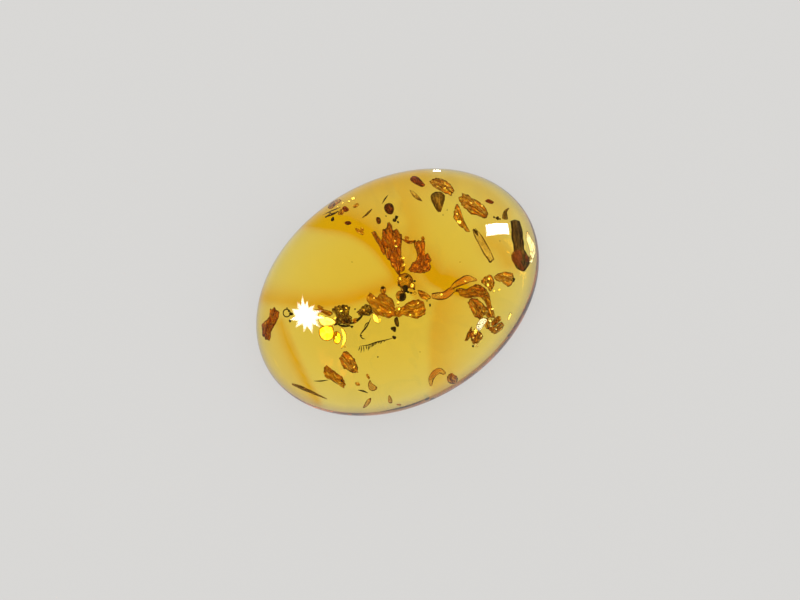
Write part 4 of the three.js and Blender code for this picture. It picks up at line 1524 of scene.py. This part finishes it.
class STONE_OT_straws(bpy.types.Operator):
    """Build the straws, links and slivers"""

    bl_idname = "stone.straws"
    bl_label = "Straws and slivers"

    def execute(self, context):
        sight, colours = sight_and_colours(context)
        tones = (colours.straw_pale, colours.straw_deep, colours.straw_edge)
        finish = tube_finish("olive_straw", tones, 0.92)
        add_scraps(sight.stone, carried(sight, STRAWS, 0.06), finish)
        tones = (colours.link_pale, colours.husk_deep, colours.husk_seam_and_painted_rim_shade)
        link = tube_finish("brown_link", tones, 0.72)
        add_scraps(sight.stone, carried(sight, LINKS, 0.1), link)
        return {"FINISHED"}


class STONE_OT_seeds(bpy.types.Operator):
    """Build the seeds"""

    bl_idname = "stone.seeds"
    bl_label = "Seeds"

    def execute(self, context):
        sight, colours = sight_and_colours(context)
        tones = (colours.seed_pale, colours.seed_deep, colours.furrow)
        finish = bark_finish("seed_coat", tones, (1.2, 4.0, 3.0), 0.2)
        add_scraps(sight.stone, traced(sight, SEEDS, 0.015), finish)
        return {"FINISHED"}


class STONE_OT_drops(bpy.types.Operator):
    """Build the resin drops and the bead cluster"""

    bl_idname = "stone.drops"
    bl_label = "Resin drops"

    def execute(self, context):
        sight, colours = sight_and_colours(context)
        finish = drop_finish(colours)
        beads = joined([
            ball(sight.at_height([pixel], height * MM)[0], diameter * MM) for pixel, diameter, height in BEADS
        ])
        add_scraps(sight.stone, traced(sight, DROPS, 0.0), finish)
        add_scraps(sight.stone, [("resin_beads", beads, 0.7)], finish)
        return {"FINISHED"}


class STONE_OT_hairs(bpy.types.Operator):
    """Build the hair ring, the hairs and the crumbs"""

    bl_idname = "stone.hairs"
    bl_label = "Hairs and crumbs"

    def execute(self, context):
        sight, colours = sight_and_colours(context)
        tones = (colours.bark_deep, colours.furrow, colours.furrow)
        finish = bark_finish("dark_hair", tones, (2.0, 9.0, 9.0), 0.5)
        add_scraps(sight.stone, [("hair_ring", self.ring(), 0.5)], finish)
        hairs = [sealed(name, self.hair(sight, *row), sight.stone) for name, row in HAIRS.items()]
        hairs = joined(hairs + self.fringe(sight))
        add_piece("sealed_hairs", hairs, finish, "dark_bark", values={"shade": 0.6})
        crumbs = [sealed(f"crumb at {row[0]}", self.crumb(sight, *row), sight.stone) for row in CRUMBS]
        add_piece("sealed_crumbs", joined(crumbs), finish, "dark_bark", values={"shade": 0.3})
        return {"FINISHED"}

    def ring(self):
        """A loop of hair: a thin stick bent round a circle until its ends almost meet."""
        middle, normal = node_plane("hair_ring")
        low, high = (np.array(corner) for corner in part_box("hair_ring"))
        radius = (high - low)[:2].mean() / 2 - RING_INSET * MM
        angle = np.linspace(0.1, 2 * math.pi, RING_STEPS)
        sideways = unit(np.cross(normal, np.array([1.0, 0, 0])))
        forward = np.cross(sideways, normal)
        path = middle + radius * (np.cos(angle)[:, None] * forward + np.sin(angle)[:, None] * sideways)
        return stick(path, np.full(RING_STEPS, RING_WIDTH * MM), normal, 1.0, sides=HAIR_SIDES)

    def hair(self, sight, path, width, node):
        """A thin stick that tapers to both ends, in a solid's plane."""
        middle, normal = node_plane(node)
        taper = np.sin(np.linspace(0.25, math.pi - 0.25, len(path)))
        spine = sight.on_plane(path, middle, normal)
        return stick(spine, width * MM * taper, normal, 1.0, sides=HAIR_SIDES, rings=HAIR_RINGS)

    def fringe(self, sight):
        """Short hairs that hang from the fringed hair at even steps, the longest in its first half."""
        path, width, node = HAIRS["fringe"]
        steps = np.linspace(0, 0.7, FRINGE_HAIRS)
        roots = smooth(path, 101, False)[(steps * 100).astype(int)]
        reach = FRINGE_REACH * (1 - steps) * (0.75 + 0.5 * np.sin(17 * steps) ** 2)
        lean = np.stack([-0.35 + 0.5 * np.sin(9 * steps), np.ones(FRINGE_HAIRS)], axis=-1)
        tips = roots + reach[:, None] * lean
        return [
            self.hair(sight, [root, 0.5 * (root + tip) + (0.3, 0), tip], 0.8 * width, node)
            for root, tip in zip(roots, tips)
        ]

    def crumb(self, sight, pixel, size, node):
        """A lumpy ball in a solid's plane."""
        middle, normal = node_plane(node)
        relief = waves(f"{pixel}", 4, 0.25, 0.5, 0.5)
        return ball(sight.on_plane([pixel], middle, normal)[0], size * MM, relief)


OPERATORS = (
    STONE_OT_stage, STONE_OT_amber, STONE_OT_husks, STONE_OT_leaves, STONE_OT_bark,
    STONE_OT_straws, STONE_OT_seeds, STONE_OT_drops, STONE_OT_hairs,
)


class STONE_PT_panel(bpy.types.Panel):
    """Sizes, colours and the pieces of the amber stone"""

    bl_idname = "STONE_PT_panel"
    bl_label = "Amber stone"
    bl_space_type = "VIEW_3D"
    bl_region_type = "UI"
    bl_category = "Amber stone"

    def draw(self, context):
        for group in (context.scene.stone_sizes, context.scene.stone_colours, context.scene.stone_studio):
            box = self.layout.box()
            for name in group.__annotations__:
                box.prop(group, name)
        for operator in OPERATORS:
            self.layout.operator(operator.bl_idname)


GROUPS = {"stone_sizes": StoneSizes, "stone_colours": StoneColours, "stone_studio": StudioSettings}


def register():
    for name, group in GROUPS.items():
        bpy.utils.register_class(group)
        setattr(bpy.types.Scene, name, bpy.props.PointerProperty(type=group))
    for cls in (*OPERATORS, STONE_PT_panel):
        bpy.utils.register_class(cls)


def unregister():
    for cls in (STONE_PT_panel, *reversed(OPERATORS)):
        bpy.utils.unregister_class(cls)
    for name, group in GROUPS.items():
        delattr(bpy.types.Scene, name)
        bpy.utils.unregister_class(group)


def main():
    """Registers the classes, and makes every piece in order."""
    register()
    bpy.ops.stone.stage()
    bpy.ops.stone.amber()
    bpy.ops.stone.husks()
    bpy.ops.stone.leaves()
    bpy.ops.stone.bark()
    bpy.ops.stone.straws()
    bpy.ops.stone.seeds()
    bpy.ops.stone.drops()
    bpy.ops.stone.hairs()


if __name__ == "__main__":
    main()
